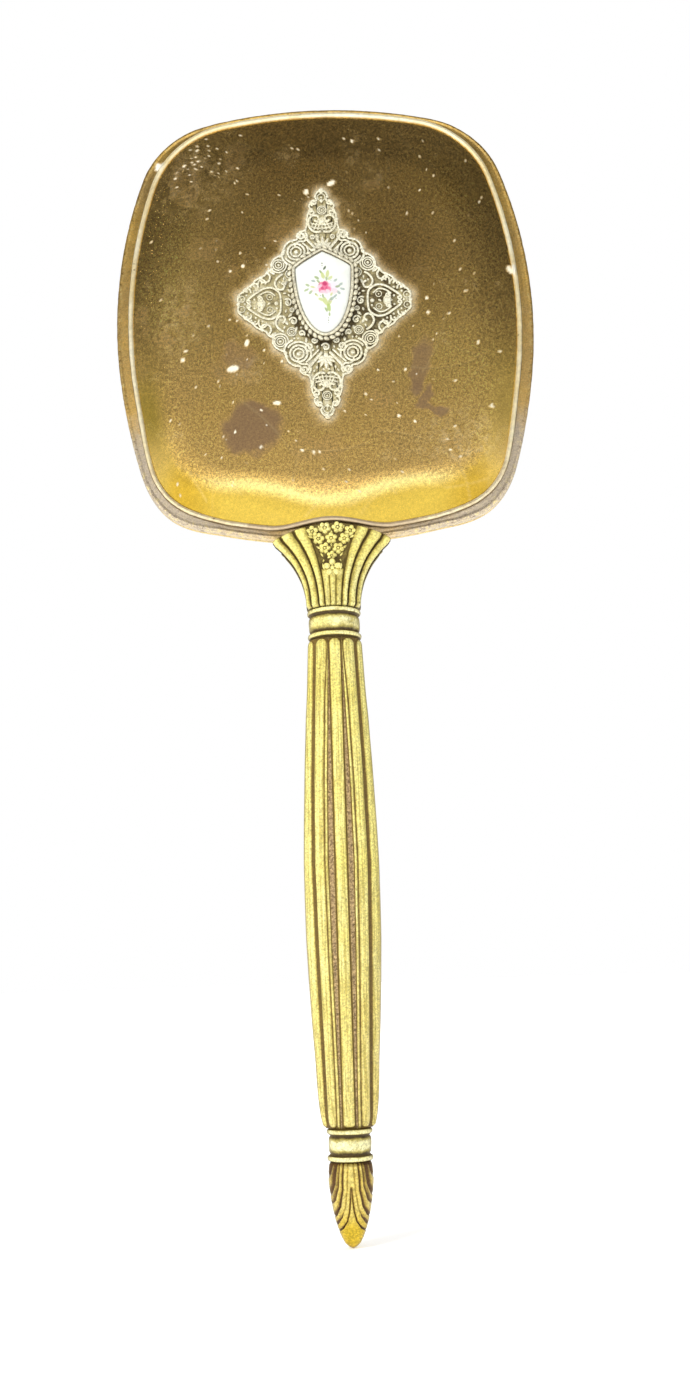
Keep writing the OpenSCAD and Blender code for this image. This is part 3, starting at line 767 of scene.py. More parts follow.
# large specks of residue: x, z, radius
SPECKS = [
    (-3.2, 43.5, 0.76), (4.6, 40.8, 0.69), (45.1, 47.5, 0.33), (24.4, 61.4, 0.36),
    (28.0, -36.4, 0.36), (20.3, -41.3, 0.46), (15.2, -27.6, 0.66), (-49.5, -30.4, 0.59),
    (-36.6, -44.1, 0.33), (-35.8, -40.7, 0.33), (-38.1, -36.6, 0.3), (42.4, -10.1, 0.46),
    (43.4, -13.0, 0.53), (40.2, -5.0, 0.26), (28.6, 15.4, 0.4), (24.6, 16.9, 0.49),
    (25.4, 21.2, 0.26), (-31.3, 4.6, 0.49), (-31.5, 0.0, 0.53), (-37.8, -0.5, 0.43),
    (-46.2, -10.1, 0.49), (-15.7, -5.9, 1.12), (-24.8, 0.6, 0.49), (-26.1, -34.7, 0.4),
    (-21.4, -32.9, 0.49), (-18.6, 58.5, 0.4), (-10.1, 57.8, 0.53), (-7.7, 58.6, 0.33),
    (23.9, -8.1, 0.66), (28.3, -16.3, 0.99), (-3.5, -24.7, 0.73), (-23.9, -18.2, 0.43),
    (-11.6, -25.6, 0.4), (-15.6, -18.1, 0.3), (-5.1, -30.8, 0.33), (18.7, -10.6, 0.33),
    (13.4, -14.3, 0.33), (-26.3, 32.7, 0.36), (26.8, -0.9, 0.3), (20.4, -3.4, 0.33),
    (14.6, 24.8, 0.3), (42.3, 51.5, 0.46), (43.7, 63.7, 0.33), (47.5, 55.4, 0.4),
    (38.2, 56.7, 0.4), (35.0, 58.3, 0.3), (31.9, 56.9, 0.26), (28.4, -26.9, 0.33),
    (20.1, -29.7, 0.33), (8.0, -42.7, 0.43), (4.5, -43.4, 0.53), (2.7, -43.5, 0.4),
    (-38.7, -22.1, 0.33), (-43.3, 6.5, 0.33), (-52.8, -12.9, 0.3), (50.1, 6.7, 0.26),
    (47.5, -31.9, 0.3), (37.1, -43.3, 0.26), (-6.1, -49.4, 0.26), (-30.6, 40.3, 0.26),
    (-40.7, 23.3, 0.26), (-49.0, 36.3, 0.26), (34.4, 35.8, 0.3), (53.0, 26.5, 0.26),
    (-57.5, 14.3, 1.05)]
# soft areas of painted shade and painted light: strength, x, z, width, height
SHADES = [(0.55, -21, 21, 15, 15), (0.25, 20, 24, 14, 9)]
PAINTED_LIGHT_AREAS = [(0.45, 47, 12, 10, 22), (0.30, -36, -12, 17, 12), (0.22, -46, -32, 10, 16),
         (0.62, 53, -43, 6, 8), (0.85, -53, -44, 6, 9), (0.42, -54, -26, 6, 12)]


def plate_patches(rows, x, z):
    """Strongest of the soft ellipses at each point."""
    cover = np.zeros_like(x)
    for strength, centre_x, centre_z, half_w, half_h, *rest in rows:
        turn, soft = (*rest, *(0, 0.35)[len(rest):])
        cos, sin = math.cos(turn), math.sin(turn)
        across = (x - centre_x) * cos + (z - centre_z) * sin
        along = -(x - centre_x) * sin + (z - centre_z) * cos
        reach = np.sqrt((across / half_w) ** 2 + (along / half_h) ** 2)
        cover = np.maximum(cover, strength * (1 - ease(1 - soft, 1 + soft, reach)))
    return cover


def plate_marks(x, z):
    """Stain and haze."""
    bent_x = x + (noise(x / 5, z / 5, 40, 3) - 0.5) * 5
    bent_z = z + (noise(x / 5 + 50, z / 5, 41, 3) - 0.5) * 5
    low = ease(-44, -50, z)
    stain = np.maximum(plate_patches(STAINS, bent_x, bent_z),
                       0.40 * ease(0.60, 0.74, noise(x / 14, z / 14, 44)))
    haze = np.maximum(plate_patches(HAZES, bent_x, bent_z),
                      0.35 * ease(0.62, 0.8, noise(x / 9, z / 9, 47)))
    return stain * (1 - 0.9 * low), haze * (1 - 0.8 * low)


def plate_specks(x, z):
    specks = np.zeros_like(x)
    for speck_x, speck_z, radius in SPECKS:
        cos, sin = math.cos(speck_x * 3.1), math.sin(speck_x * 3.1)
        along = (x - speck_x) * cos + (z - speck_z) * sin
        across = -(x - speck_x) * sin + (z - speck_z) * cos
        longer = 1.0 + (0.9 if radius > 0.6 else 0.15) * abs(math.sin(speck_z * 5.3))
        reach = np.hypot(along / longer, across)
        specks = np.maximum(specks, 1 - ease(radius * 0.75, radius * 1.2, reach))

    def grain(grain_x, grain_z, radius, strength, fade):
        reach = np.hypot(x - grain_x, z - grain_z)
        dot = strength * (1 - ease(radius * 0.8, radius * fade, reach))
        return np.maximum(specks, dot)

    for _ in range(42):               # a cluster near the upper corner at +X
        grain_x, grain_z = 40 + rng.normal(0, 7), 51 + rng.normal(0, 5)
        radius = rng.uniform(0.14, 0.30)
        if grain_x < 54 and grain_z < 64:
            specks = grain(grain_x, grain_z, radius, strength=0.9, fade=1.5)
    for _ in range(150):              # scattered all over
        grain_x, grain_z = rng.uniform(-54, 54), rng.uniform(-60, 62)
        specks = grain(grain_x, grain_z, rng.uniform(0.10, 0.22), strength=0.85, fade=1.6)
    return specks


def plate_scratches(x, z):
    scratches = np.zeros_like(x)
    for _ in range(60):
        from_x, from_z = x - rng.uniform(-48, 48), z - rng.uniform(-58, 55)
        angle, length = rng.uniform(0, math.pi), rng.uniform(6, 26)
        curve = rng.uniform(-0.02, 0.02)
        along = from_x * math.cos(angle) + from_z * math.sin(angle)
        across = -from_x * math.sin(angle) + from_z * math.cos(angle) - curve * along * along
        line = bell(across, 0.28) * (np.abs(along) < length / 2) * rng.uniform(0.15, 0.6)
        scratches = np.maximum(scratches, line)
    return scratches


def plate_halo(x, z):
    """Pale residue under the medallion and just outside its outline."""
    centre_z = MEDAL_Z - HEAD_Z
    near = (np.abs(x) < 36) & (np.abs(z - centre_z) < 48)
    near_x, near_z = x[near], z[near] - centre_z
    quarter = smooth_open(BORDER, 2)
    distance = np.full(len(near_x), 1e9)
    for point_x, point_z in np.concatenate([quarter * signs for signs in DOWN_FIRST]):
        distance = np.minimum(distance, (near_x - point_x) ** 2 + (near_z - point_z) ** 2)
    distance = np.sqrt(distance)
    inside = np.abs(near_x) < border_half_width(np.abs(near_z))
    soft = 0.55 + 1.25 * noise(near_x / 4, near_z / 4, 55, 3)
    outside = 0.68 * np.exp(-(np.clip(distance - 0.1, 0, None) / soft) ** 1.4)
    halo = np.zeros_like(x)
    halo[near] = np.where(inside, 0.7, outside)
    return halo


def soft_areas(rows, x, z):
    return sum(strength * np.exp(-((x - centre_x) / width) ** 2 - ((z - centre_z) / height) ** 2)
               for strength, centre_x, centre_z, width, height in rows)


def back_plate():
    margin = np.r_[np.linspace(EDGE_INSET, 3, 6), np.linspace(3.6, FLAT_INSET, 36)]
    rings = [plate_ring(inset) for inset in margin]
    last_x, _, last_z = rings[-1]
    level = np.full(PLATE_COUNT, CROWN)
    rings += [(last_x * size, level, last_z * size) for size in np.linspace(1, 0.01, 110)[1:]]
    x, y, z = (np.array(column) for column in zip(*rings))
    inset = np.r_[margin, np.full(len(x) - len(margin), FLAT_INSET)][:, None]
    y = y + (noise(x / 26 + 3, z / 26 + 9, 31, 3) - 0.5) * 0.09 * ease(0, 6, inset)
    y = np.minimum(y, CROWN + 0.02)
    top = np.stack([x, y, z + HEAD_Z], -1)
    shallow = slice(0, len(margin), 3)
    under = np.stack([x[shallow], y[shallow] - SHEET, z[shallow] + HEAD_Z], -1)
    centre = np.stack([last_x * 0.9, np.full(PLATE_COUNT, CROWN - SHEET),
                       last_z * 0.9 + HEAD_Z], -1)
    under = np.concatenate([under, centre[None]])
    start = len(top) * PLATE_COUNT
    end = start + len(under) * PLATE_COUNT
    faces = grid_faces(len(top), PLATE_COUNT, False, True)
    faces += grid_faces(len(under), PLATE_COUNT, False, True, start, True)
    faces.append(list(range(start - PLATE_COUNT, start)))
    faces.append(list(range(end - PLATE_COUNT, end))[::-1])
    i = np.arange(PLATE_COUNT)
    after = (i + 1) % PLATE_COUNT
    faces += np.stack([i, after, start + after, start + i], -1).tolist()

    stain, haze = plate_marks(x, z)
    depth = inset + notch_rise(x, z) + low_middle(x, z) + corner_fill(x, z, inset)
    away = np.abs(x)
    # painted reflection tone: deeper amber on the lower and side margins where the bright
    # reflection falls
    painted_reflection_tone = np.maximum(ease(-28, -50, z) * (1 - ease(8.0, 13.5, depth)),
                       ease(38, 48, away) * ease(2, -36, z) * (1 - ease(4.0, 15.0, depth)))
    # painted highlight: a cream band along the lower margin
    painted_highlight = ease(-46, -54, z) * bell(depth - 11.8, 2.6) * (1 - 0.62 * ease(22, 42, away))
    # painted shade: darker towards the top middle and in soft areas
    shade = 0.42 * bell(x - 4, 34.0) * ease(26, 50, z) + soft_areas(SHADES, x, z)
    # painted shade in the two lower corners
    corner = (ease(30, 44, away) * (1 - ease(46, 52, away)) * ease(-42, -51, z)
              * (1 - ease(6.0, 15.0, inset)))
    # lift: painted light in soft areas
    zones = dict(stain=stain, haze=haze, speck=plate_specks(x, z),
                 scratch=plate_scratches(x, z), painted_reflection_tone=painted_reflection_tone, painted_highlight=painted_highlight,
                 halo=plate_halo(x, z), shade=np.clip(shade, 0, 0.75),
                 lift=np.clip(soft_areas(PAINTED_LIGHT_AREAS, x, z), 0, 0.85),
                 corner=np.clip(corner, 0, 1) * 0.85)
    plain_under = np.zeros(end - start)
    add_piece("back_plate_skin", np.concatenate([top.reshape(-1, 3), under.reshape(-1, 3)]),
              faces, PLATE, "plate_brass", "back_plate",
              **{key: np.r_[zone.reshape(-1), plain_under] for key, zone in zones.items()})


back_plate()


# ------------------------------------------------------------------ head: rolled wire
def edge_wire():
    x, _, z = plate_ring(0.0, share=1.0)
    centre_y = np.maximum(BAND_Y + 0.05 + WIRE_R, plate_ring(EDGE_INSET)[1] - 0.35)
    along_x = np.roll(x, -1) - np.roll(x, 1)
    along_z = np.roll(z, -1) - np.roll(z, 1)
    length = np.hypot(along_x, along_z)
    sides = 20
    angle = 2 * math.pi * np.arange(sides) / sides
    cos, sin = np.cos(angle), np.sin(angle)
    dent = (noise(np.arange(PLATE_COUNT) * 0.12, np.zeros(PLATE_COUNT), 60, 3) - 0.5) * 0.10
    radius = (WIRE_R * (1 + dent))[:, None]
    wire_x = x[:, None] + (along_z / length)[:, None] * cos * radius
    wire_z = z[:, None] + (-along_x / length)[:, None] * cos * radius
    spot = np.maximum(blot(wire_x, wire_z, WIRE_BLOT), blot(wire_x, wire_z, SHARED_BLOT))
    spot = spot * (sin > -0.3)
    points = np.stack([wire_x, centre_y[:, None] + sin * radius + 0.22 * spot,
                       wire_z + HEAD_Z], -1)
    # painted shade on the wire's inner side and underside
    cav = 0.95 * ease(0.35, 0.95, np.abs(cos)) * (cos > 0) + 0.9 * (sin < -0.1)
    notch = np.where(z < 0, np.exp(-(np.abs(x) / 22.0) ** 4), 0)
    tarnish = np.clip(notch * 0.95 + 0.45 * ease(-30, -52, z), 0, 1)
    add_piece("edge_wire_roll", points.reshape(-1, 3),
              grid_faces(PLATE_COUNT, sides, True, True), WIRE, "wire_brass", "edge_wire",
              cav=np.clip(np.tile(cav, PLATE_COUNT), 0, 1), tarn=np.repeat(tarnish, sides),
              spot=spot.reshape(-1))


edge_wire()

# ------------------------------------------------------------------ grip
grip_lo, grip_hi = box_mm("grip_shell_back")
GRIP_BOTTOM, GRIP_TOP = grip_lo[2], grip_hi[2]
# z, full width, full depth
GRIP_STATIONS = np.array([
    (32.3, 13.6, 11.0), (34, 15.0, 11.9), (36, 15.9, 12.4), (39.5, 16.7, 12.9),
    (45, 17.5, 13.4), (50.5, 17.9, 13.7), (56, 18.7, 14.0), (61.5, 19.4, 14.3),
    (67, 19.9, 14.6), (72.7, 20.5, 14.9), (78, 20.9, 15.1), (84, 21.4, 15.35),
    (95, 21.6, 15.6), (106, 21.6, 15.6), (118, 20.9, 15.55), (124, 20.4, 15.5),
    (130, 19.9, 15.4), (136, 19.4, 15.2), (142, 18.7, 15.0), (148, 18.2, 14.8),
    (154, 17.2, 14.6), (160, 16.6, 14.4), (168.8, 15.8, 14.2), (171.25, 15.5, 14.0)])
GRIP_Z = np.r_[np.linspace(GRIP_BOTTOM, GRIP_BOTTOM + 3, 14),
               np.linspace(GRIP_BOTTOM + 3.6, GRIP_TOP - 3.6, 150),
               np.linspace(GRIP_TOP - 3, GRIP_TOP, 28)]
REED_H = 0.72
CENTRE_HALF_W = 1.80                    # half-width of the middle reed
INNER_COLS = 25
# features from the side of the grip to its middle reed, with their sample counts
FEATURES = [("side", 20), ("vee", 5), ("mid", 16), ("fine", 4), ("fillet", 6), ("edge", 3),
            ("floor", 5), ("edge2", 3)]


def grip_station(column):
    """Half of a station column along the grip, with its corners smoothed."""
    weights = ((-3, 1), (-1.5, 2), (0, 3), (1.5, 2), (3, 1))
    return sum(weight * np.interp(GRIP_Z + shift, GRIP_STATIONS[:, 0],
                                  GRIP_STATIONS[:, column] / 2)
               for shift, weight in weights) / 9


GRIP_HALF_W = grip_station(1) - 0.36
GRIP_HALF_D = grip_station(2) - 0.72
GROOVE_W = np.interp(GRIP_Z, [32.3, 45, 78, 106, 130, 150, 168, 171.3],
                     [0.7, 0.85, 1.6, 1.95, 1.5, 0.75, 0.22, 0.2])
MID_W = np.interp(GRIP_Z, [32.3, 45, 106, 150, 171.3], [3.3, 3.45, 3.8, 3.75, 3.6])


def grip_section():
    """Samples across the half, from one side over the crown: (feature, part, side)."""
    half = [(kind, part) for kind, count in FEATURES
            for part in (np.arange(count) + 0.5) / count]
    return ([("side", 0.0, -1)] + [(kind, part, -1) for kind, part in half]
            + [("centre", part, 0) for part in np.linspace(0, 1, 22)]
            + [(kind, part, 1) for kind, part in half[::-1]] + [("side", 0.0, 1)])


def hump(part, power=2.0, root=0.5):
    """Rounded hump, 0 at both ends and 1 halfway."""
    return np.maximum(0.0, 1 - np.abs(2 * part - 1) ** power) ** root


def edge_lines(part, width, far=1):
    """Dark line along the near edge of a reed, and the far one."""
    return 1.1 * bell(part, width) + far * 1.1 * bell(1 - part, width)


def grip_half(side_name, sign):
    """One reeded half shell; sign is its side in Y."""
    z, half_w, half_d = GRIP_Z, GRIP_HALF_W, GRIP_HALF_D
    section = grip_section()
    rows, cols = len(z), len(section)
    points = np.zeros((rows, cols, 3))
    cav, floor, warm = (np.zeros((rows, cols)) for _ in range(3))
    top = np.clip((GRIP_TOP - 0.35 - z) / 1.7, 0, 1)
    bottom = np.clip((z - GRIP_BOTTOM - 0.25) / 0.9, 0, 1)
    ends = np.sqrt(1 - (1 - top) ** 2) * np.sqrt(1 - (1 - bottom) ** 2)
    # x of the limits between features, outward from the middle reed
    groove = CENTRE_HALF_W + GROOVE_W
    fillet = groove + 0.55 * ease(171, 150, z) + 0.02
    fine = fillet + 0.22 * ease(171, 150, z) + 0.02
    reed = np.minimum(groove + MID_W, half_w * 0.80)
    vee = np.minimum(reed + 0.42, half_w * 0.87)
    wall = np.minimum(0.22, GROOVE_W * 0.3)
    limits = {"edge2": (CENTRE_HALF_W, CENTRE_HALF_W + wall),
              "floor": (CENTRE_HALF_W + wall, groove - wall), "edge": (groove - wall, groove),
              "fillet": (groove, fillet), "fine": (fillet, fine), "mid": (fine, reed),
              "vee": (reed, vee)}
    side_angle = np.arccos(np.clip(vee / half_w, 0, 1))
    for j, (kind, part, side) in enumerate(section):
        # reeds narrow to their middle line towards the ends
        drawn = 0.5 + (part - 0.5) / np.maximum(ends, 0.05)
        keep = np.abs(drawn - 0.5) <= 0.5
        drawn = np.clip(drawn, 0, 1)
        if kind == "centre":
            x = CENTRE_HALF_W * (2 * part - 1)
            angle = np.pi - np.arccos(np.clip(x / half_w, -1, 1))
        else:
            if kind == "side":
                angle = side_angle * part
            else:
                inner, outer = limits[kind]
                x = outer + (inner - outer) * part
                angle = np.arccos(np.clip(x / half_w, 0, 1))
            angle = angle if side > 0 else np.pi - angle
        # height as a share of the reed's, and darkness: painted shade across each reed, dark
        # lines at its edges, darker at the ends
        if kind == "centre":
            height = keep * (hump(drawn, 2.2, 0.7) - 0.14 * bell(drawn - 0.5, 0.07))
            dark = (edge_lines(drawn, 0.07) + 0.06 + 0.30 * ease(0.25, 0.0, drawn)
                    + 0.34 * ease(0.72, 1.0, drawn) + 0.30 * bell(drawn - 0.46, 0.05))
        elif kind == "side":
            height = keep * hump(drawn, 2.0, 0.75)
            dark = (edge_lines(1 - drawn, 0.06, far=0) + 0.05 + 0.42 * ease(0.42, 0.10, drawn)
                    + 0.30 * ease(0.80, 0.97, drawn))
            # painted shade: a warm tan tone on the outer edge of the side reeds
            warm[:, j] = (0.70 * ease(0.60, 0.15, part) * (0.55 + 0.45 * ease(150, 90, z))
                          * (1.0 if side > 0 else 0.8))
        elif kind == "mid":
            height = keep * hump(drawn, 2.1, 0.7) * (1 - 0.12 * bell(drawn - 0.6, 0.06))
            dark = (edge_lines(drawn, 0.06) + 0.04 + 0.32 * ease(0.30, 0.0, drawn)
                    + 0.34 * ease(0.70, 1.0, drawn) + 0.34 * bell(drawn - 0.58, 0.04))
        elif kind == "fillet":
            height, dark = 0.42 + 0.30 * hump(part), 0.15
        else:
            height, dark = {"vee": (0.02, 1.15), "fine": (0.48, 0.75), "edge": (0.06, 1.0),
                            "edge2": (0.06, 1.0), "floor": (0.10, 0.2)}[kind]
            if kind == "floor":
                floor[:, j] = 1.0
        if kind in ("centre", "side", "mid"):
            dark = np.where(keep, dark, 1.1)
        low_warm = 0.38 * ease(105, 35, z) * (1.15 if side > 0 else 0.8)
        warm[:, j] = np.clip(warm[:, j] + low_warm, 0, 1)
        cos, sin = np.cos(angle), np.sin(angle)
        normal_x, normal_y = cos / half_w, sin / half_d
        length = np.hypot(normal_x, normal_y)
        out = REED_H * (height * ends)
        points[:, j, 0] = -(half_w * cos + out * normal_x / length)
        points[:, j, 1] = sign * (half_d * sin + out * normal_y / length + 0.015)
        points[:, j, 2] = z
        cav[:, j] = np.clip(dark, 0, 1.2) + (1 - ends) * 0.30
    wear = noise(points[:, :, 0] / 2.2 + 40, points[:, :, 2] / 9.0, 70 + sign, 3) - 0.5
    points[:, :, 1] += sign * (wear * 0.05)

    inner = np.zeros((rows, INNER_COLS, 3))
    for j, angle in enumerate(np.linspace(np.pi, 0, INNER_COLS)):
        inner[:, j, 0] = -(half_w - 1.0) * np.cos(angle)
        inner[:, j, 1] = sign * ((half_d - 0.9) * np.sin(angle) + 0.015)
        inner[:, j, 2] = z
    start = rows * cols
    faces = grid_faces(rows, cols) + grid_faces(rows, INNER_COLS, start=start, flip=True)
    # seams along the sides
    i = np.arange(rows - 1)
    for col, inner_col, keep in ((0, 0, False), (cols - 1, INNER_COLS - 1, True)):
        quads = np.stack([i * cols + col, start + i * INNER_COLS + inner_col,
                          start + (i + 1) * INNER_COLS + inner_col, (i + 1) * cols + col], -1)
        faces += (quads if keep else quads[:, ::-1]).tolist()
    # end faces, stitched between the outer and inner rows
    last, inner_last = cols - 1, INNER_COLS - 1
    for row, flip in ((0, False), (rows - 1, True)):
        here, there = row * cols, start + row * INNER_COLS
        strip = []
        a = b = 0
        while a < last or b < inner_last:
            if b >= inner_last or (a < last and (a + 1) / last <= (b + 1) / inner_last):
                strip.append((here + a, here + a + 1, there + b))
                a += 1
            else:
                strip.append((here + a, there + b + 1, there + b))
                b += 1
        faces += flipped(strip) if flip else strip
    if sign > 0:
        faces = flipped(faces)
    inner_count = rows * INNER_COLS
    add_piece("grip_shell_%s_reeded" % side_name,
              np.concatenate([points.reshape(-1, 3), inner.reshape(-1, 3)]), faces, HANDLE,
              "handle_gilt", "grip_shell_%s" % side_name,
              cav=np.r_[cav.reshape(-1), np.full(inner_count, 0.6)],
              floor=np.r_[floor.reshape(-1), np.zeros(inner_count)],
              warm=np.r_[warm.reshape(-1), np.zeros(inner_count)])


grip_half("back", 1)
grip_half("front", -1)


# ------------------------------------------------------------------ collars
def collar(node, chip=None):
    """Ring with a bead at each end; chip is a dent's angle, height and half-width."""
    lo, hi = box_mm(node)
    radius, bottom, height = (hi[0] - lo[0]) / 2, lo[2], hi[2] - lo[2]
    bead, bead_gap, bore = 0.66, 0.28, 2.2
    belly_start = 0.80 + 2 * bead

    def bead_rows(middle):
        rows = []
        for degrees in np.linspace(-80, 80, 13):
            angle = math.radians(degrees)
            rows.append((radius - bead * 0.75 + bead * 0.75 * math.cos(angle),
                         middle + bead * math.sin(angle), 0.95 * abs(degrees / 80) ** 3 + 0.05))
        return rows

    # radius, height, darkness; the darkness is painted shade rounding the beads and the belly,
    # darkest in the grooves
    rows = [(bore, 0, 0.6), (radius - 1.2, 0.0, 1.0), (radius - 1.0, 0.12, 1.0)]
    rows += bead_rows(bead_gap + bead)
    for part in np.linspace(0, 1, 15):
        off = 2 * part - 1
        rows.append((radius - 0.95 + 0.45 * (1 - off ** 6) + 0.08 * (1 - off ** 2),
                     belly_start + (height - 2 * belly_start) * part,
                     1.0 * abs(off) ** 2.4 + 0.10))
    rows += bead_rows(height - bead_gap - bead)
    rows += [(radius - 1.0, height - 0.12, 1.0), (radius - 1.2, height, 1.0),
             (bore, height, 0.6)]
    row_r, row_z, row_cav = np.array(rows).T
    count = 160
    angle = (2 * math.pi * np.arange(count) / count)[:, None]
    outer = row_r > radius - 1.1
    uneven = noise(np.cos(angle) * 3 + 5, row_z * 0.8 + np.sin(angle) * 3,
                   80 + int(bottom)) - 0.5
    ring_r = row_r + uneven * 0.16 * outer
    if chip:
        chip_angle, chip_z, chip_r = chip
        turn = np.angle(np.exp(1j * (angle - chip_angle)))
        reach = np.hypot(turn * radius / chip_r, (row_z - chip_z) / (chip_r * 0.45))
        ring_r = ring_r - 0.55 * (1 - ease(0.6, 1.1, reach)) * outer
    points = np.stack([ring_r * np.cos(angle), ring_r * np.sin(angle),
                       np.broadcast_to(bottom + row_z, ring_r.shape)], -1)
    add_piece(node + "_ring", points.reshape(-1, 3), grid_faces(count, len(rows), True, True),
              COLLAR, "handle_gilt", node, cav=np.clip(row_cav + uneven * 0.5, 0, 1).reshape(-1))


collar("upper_collar", chip=(math.radians(150), 2.7, 1.7))
collar("lower_collar")

# ------------------------------------------------------------------ finial
FINIAL_TOP = box_mm("finial")[1][2]
# z, full width
FINIAL_STATIONS = np.array([
    (0, 0.0), (0.3, 1.7), (0.6, 2.7), (1.4, 4.4), (2.7, 5.9), (4.2, 7.2), (6.1, 8.5),
    (7.4, 9.3), (10, 10.5), (12.7, 11.5), (15.5, 12.25), (18, 12.7), (20.5, 12.6),
    (22.3, 12.2), (23.1, 11.9)])
# carved lines: points of (z, place from middle 0 to side 1), depth, width
FINIAL_LINES = [
    ([(17.5, 0.0), (13.0, 0.06), (10.0, 0.14), (7.6, 0.30), (5.8, 0.62), (4.6, 1.05)],
     0.50, 0.050),
    ([(23.2, 0.13), (16.0, 0.19), (11.5, 0.33), (8.8, 0.56), (6.9, 0.88), (6.2, 1.05)],
     0.26, 0.035),
    ([(23.2, 0.36), (16.0, 0.41), (11.6, 0.60), (9.2, 0.88), (8.4, 1.05)], 0.52, 0.050),
    ([(23.2, 0.52), (17.0, 0.58), (13.2, 0.80), (11.6, 1.05)], 0.26, 0.035),
    ([(23.2, 0.67), (17.6, 0.76), (14.6, 0.96), (13.9, 1.05)], 0.50, 0.048),
    ([(23.2, 0.86), (20.2, 0.93), (18.6, 1.05)], 0.45, 0.045)]


def finial_line(line, depth, width, z, place):
    """A line that starts high and sweeps down and out to the side: its carving and its darkness,
    patina in the cut with a band of painted shade beside it.
    """
    low_first = np.array(line)[::-1]
    centre = np.interp(z, low_first[:, 0], low_first[:, 1], left=2.0, right=low_first[-1, 1])
    off = place - centre
    live = ease(low_first[0, 0] - 0.3, low_first[0, 0] + 0.2, z)
    highest = line[0][0]
    if highest < 20:
        live = live * (1 - ease(highest - 1.2, highest, z))
    cut = bell(off, width) * live
    wide = bell(off - 0.07, 0.10) * live * ease(0.30, 0.75, centre)
    return depth * cut + 0.30 * depth * wide, cut * min(1.0, depth * 2.2) + 0.9 * wide


def finial():
    count = 260
    heights = np.r_[0.004, np.linspace(0.06, 1.2, 12), np.linspace(1.35, FINIAL_TOP - 0.02, 170)]
    radii = np.interp(heights, FINIAL_STATIONS[:, 0], FINIAL_STATIONS[:, 1] / 2)
    weights = np.array([1, 2, 3, 2, 1]) / 9.0
    smoothed = np.convolve(np.pad(radii, 2, mode="edge"), weights, "valid")
    radii = np.where(heights > 1.5, smoothed, radii)
    turns = 2 * math.pi * np.arange(count) / count
    angle, z = np.meshgrid(turns, heights, indexing="ij")
    place = np.abs(np.cos(angle))
    carve, dark = np.zeros_like(place), np.zeros_like(place)
    for line in FINIAL_LINES:
        cut, shade = finial_line(*line, z, place)
        carve, dark = np.maximum(carve, cut), np.maximum(dark, shade)
    top = ease(FINIAL_TOP - 0.9, FINIAL_TOP, z)
    radius = radii - 0.05 - carve * (1 - 0.65 * ease(0.82, 0.98, place)) - 0.25 * top
    # darkness: the carved lines, painted shade at the top under the collar, lighter near the tip
    cav = np.clip(dark * (0.80 + 0.25 * ease(12, 6, z)) + 0.4 * top + 0.10, 0, 1.1)
    cav = cav * (0.25 + 0.75 * ease(3.0, 6.0, z))
    warm = 1 - ease(5.0, 12.0, z)
    points = np.stack([radius * np.cos(angle), radius * np.sin(angle), z], -1)
    # bore down from the top face
    bore = np.stack([np.stack([2.1 * np.cos(turns), 2.1 * np.sin(turns),
                               np.full(count, bore_z)], -1)
                     for bore_z in (FINIAL_TOP - 0.02, 9.0)], 1)
    points = np.concatenate([points, bore], 1)
    cols = len(heights) + 2
    faces = grid_faces(count, cols, True, False)
    faces += [[i * cols for i in range(count)][::-1],
              [i * cols + cols - 1 for i in range(count)]]
    add_piece("finial_leaf", points.reshape(-1, 3), faces, FINIAL, "handle_gilt", "finial",
              cav=np.concatenate([cav, np.full((count, 2), 0.8)], 1).reshape(-1),
              warm=np.concatenate([warm, np.zeros((count, 2))], 1).reshape(-1))


finial()

# ------------------------------------------------------------------ socket
socket_lo, socket_hi = box_mm("handle_socket")
SOCKET_BOTTOM, SOCKET_TOP = socket_lo[2], socket_hi[2] + 1.3
SOCKET_FRONT_TOP = 201.75
ARCH_R = 33.0
# z, half-width, share of the arch's bend, depth at the back
SOCKET_STATIONS = np.array([
    [180.4, 8.05, 0, 7.5], [184, 8.2, 0.1, 7.3], [187, 8.7, 0.25, 7.0], [190, 9.5, 0.4, 6.6],
    [193, 10.7, 0.55, 6.2], [196, 12.1, 0.7, 5.7], [199, 13.8, 0.85, 5.1],
    [200.2, 14.5, 0.88, 4.9], [202.5, 15.9, 0.95, 4.45], [204.6, 17.4, 1, 4.05],
    [206.7, 18.2, 1, 3.7]])
# z, depth at the front
SOCKET_FRONT_DEPTH = np.array([
    (180.4, 7.5), (184, 7.3), (187, 7.0), (190, 6.7), (193, 6.2), (196, 5.6), (199, 4.8),
    (200.3, 4.3), (201.8, 3.8)])
CENTRE_LOBE = 3
# samples across: (lobe, part, side); lobes 0 to 2 run inward from each side
SOCKET_SECTION = [(lobe, part, -1) for lobe, count in enumerate((16, 16, 14))
                  for part in np.linspace(0, 1, count)]
SOCKET_SECTION += ([(CENTRE_LOBE, part, 0) for part in np.linspace(0, 1, 61)]
                   + [(lobe, part, 1) for lobe, part, _ in SOCKET_SECTION[::-1]])


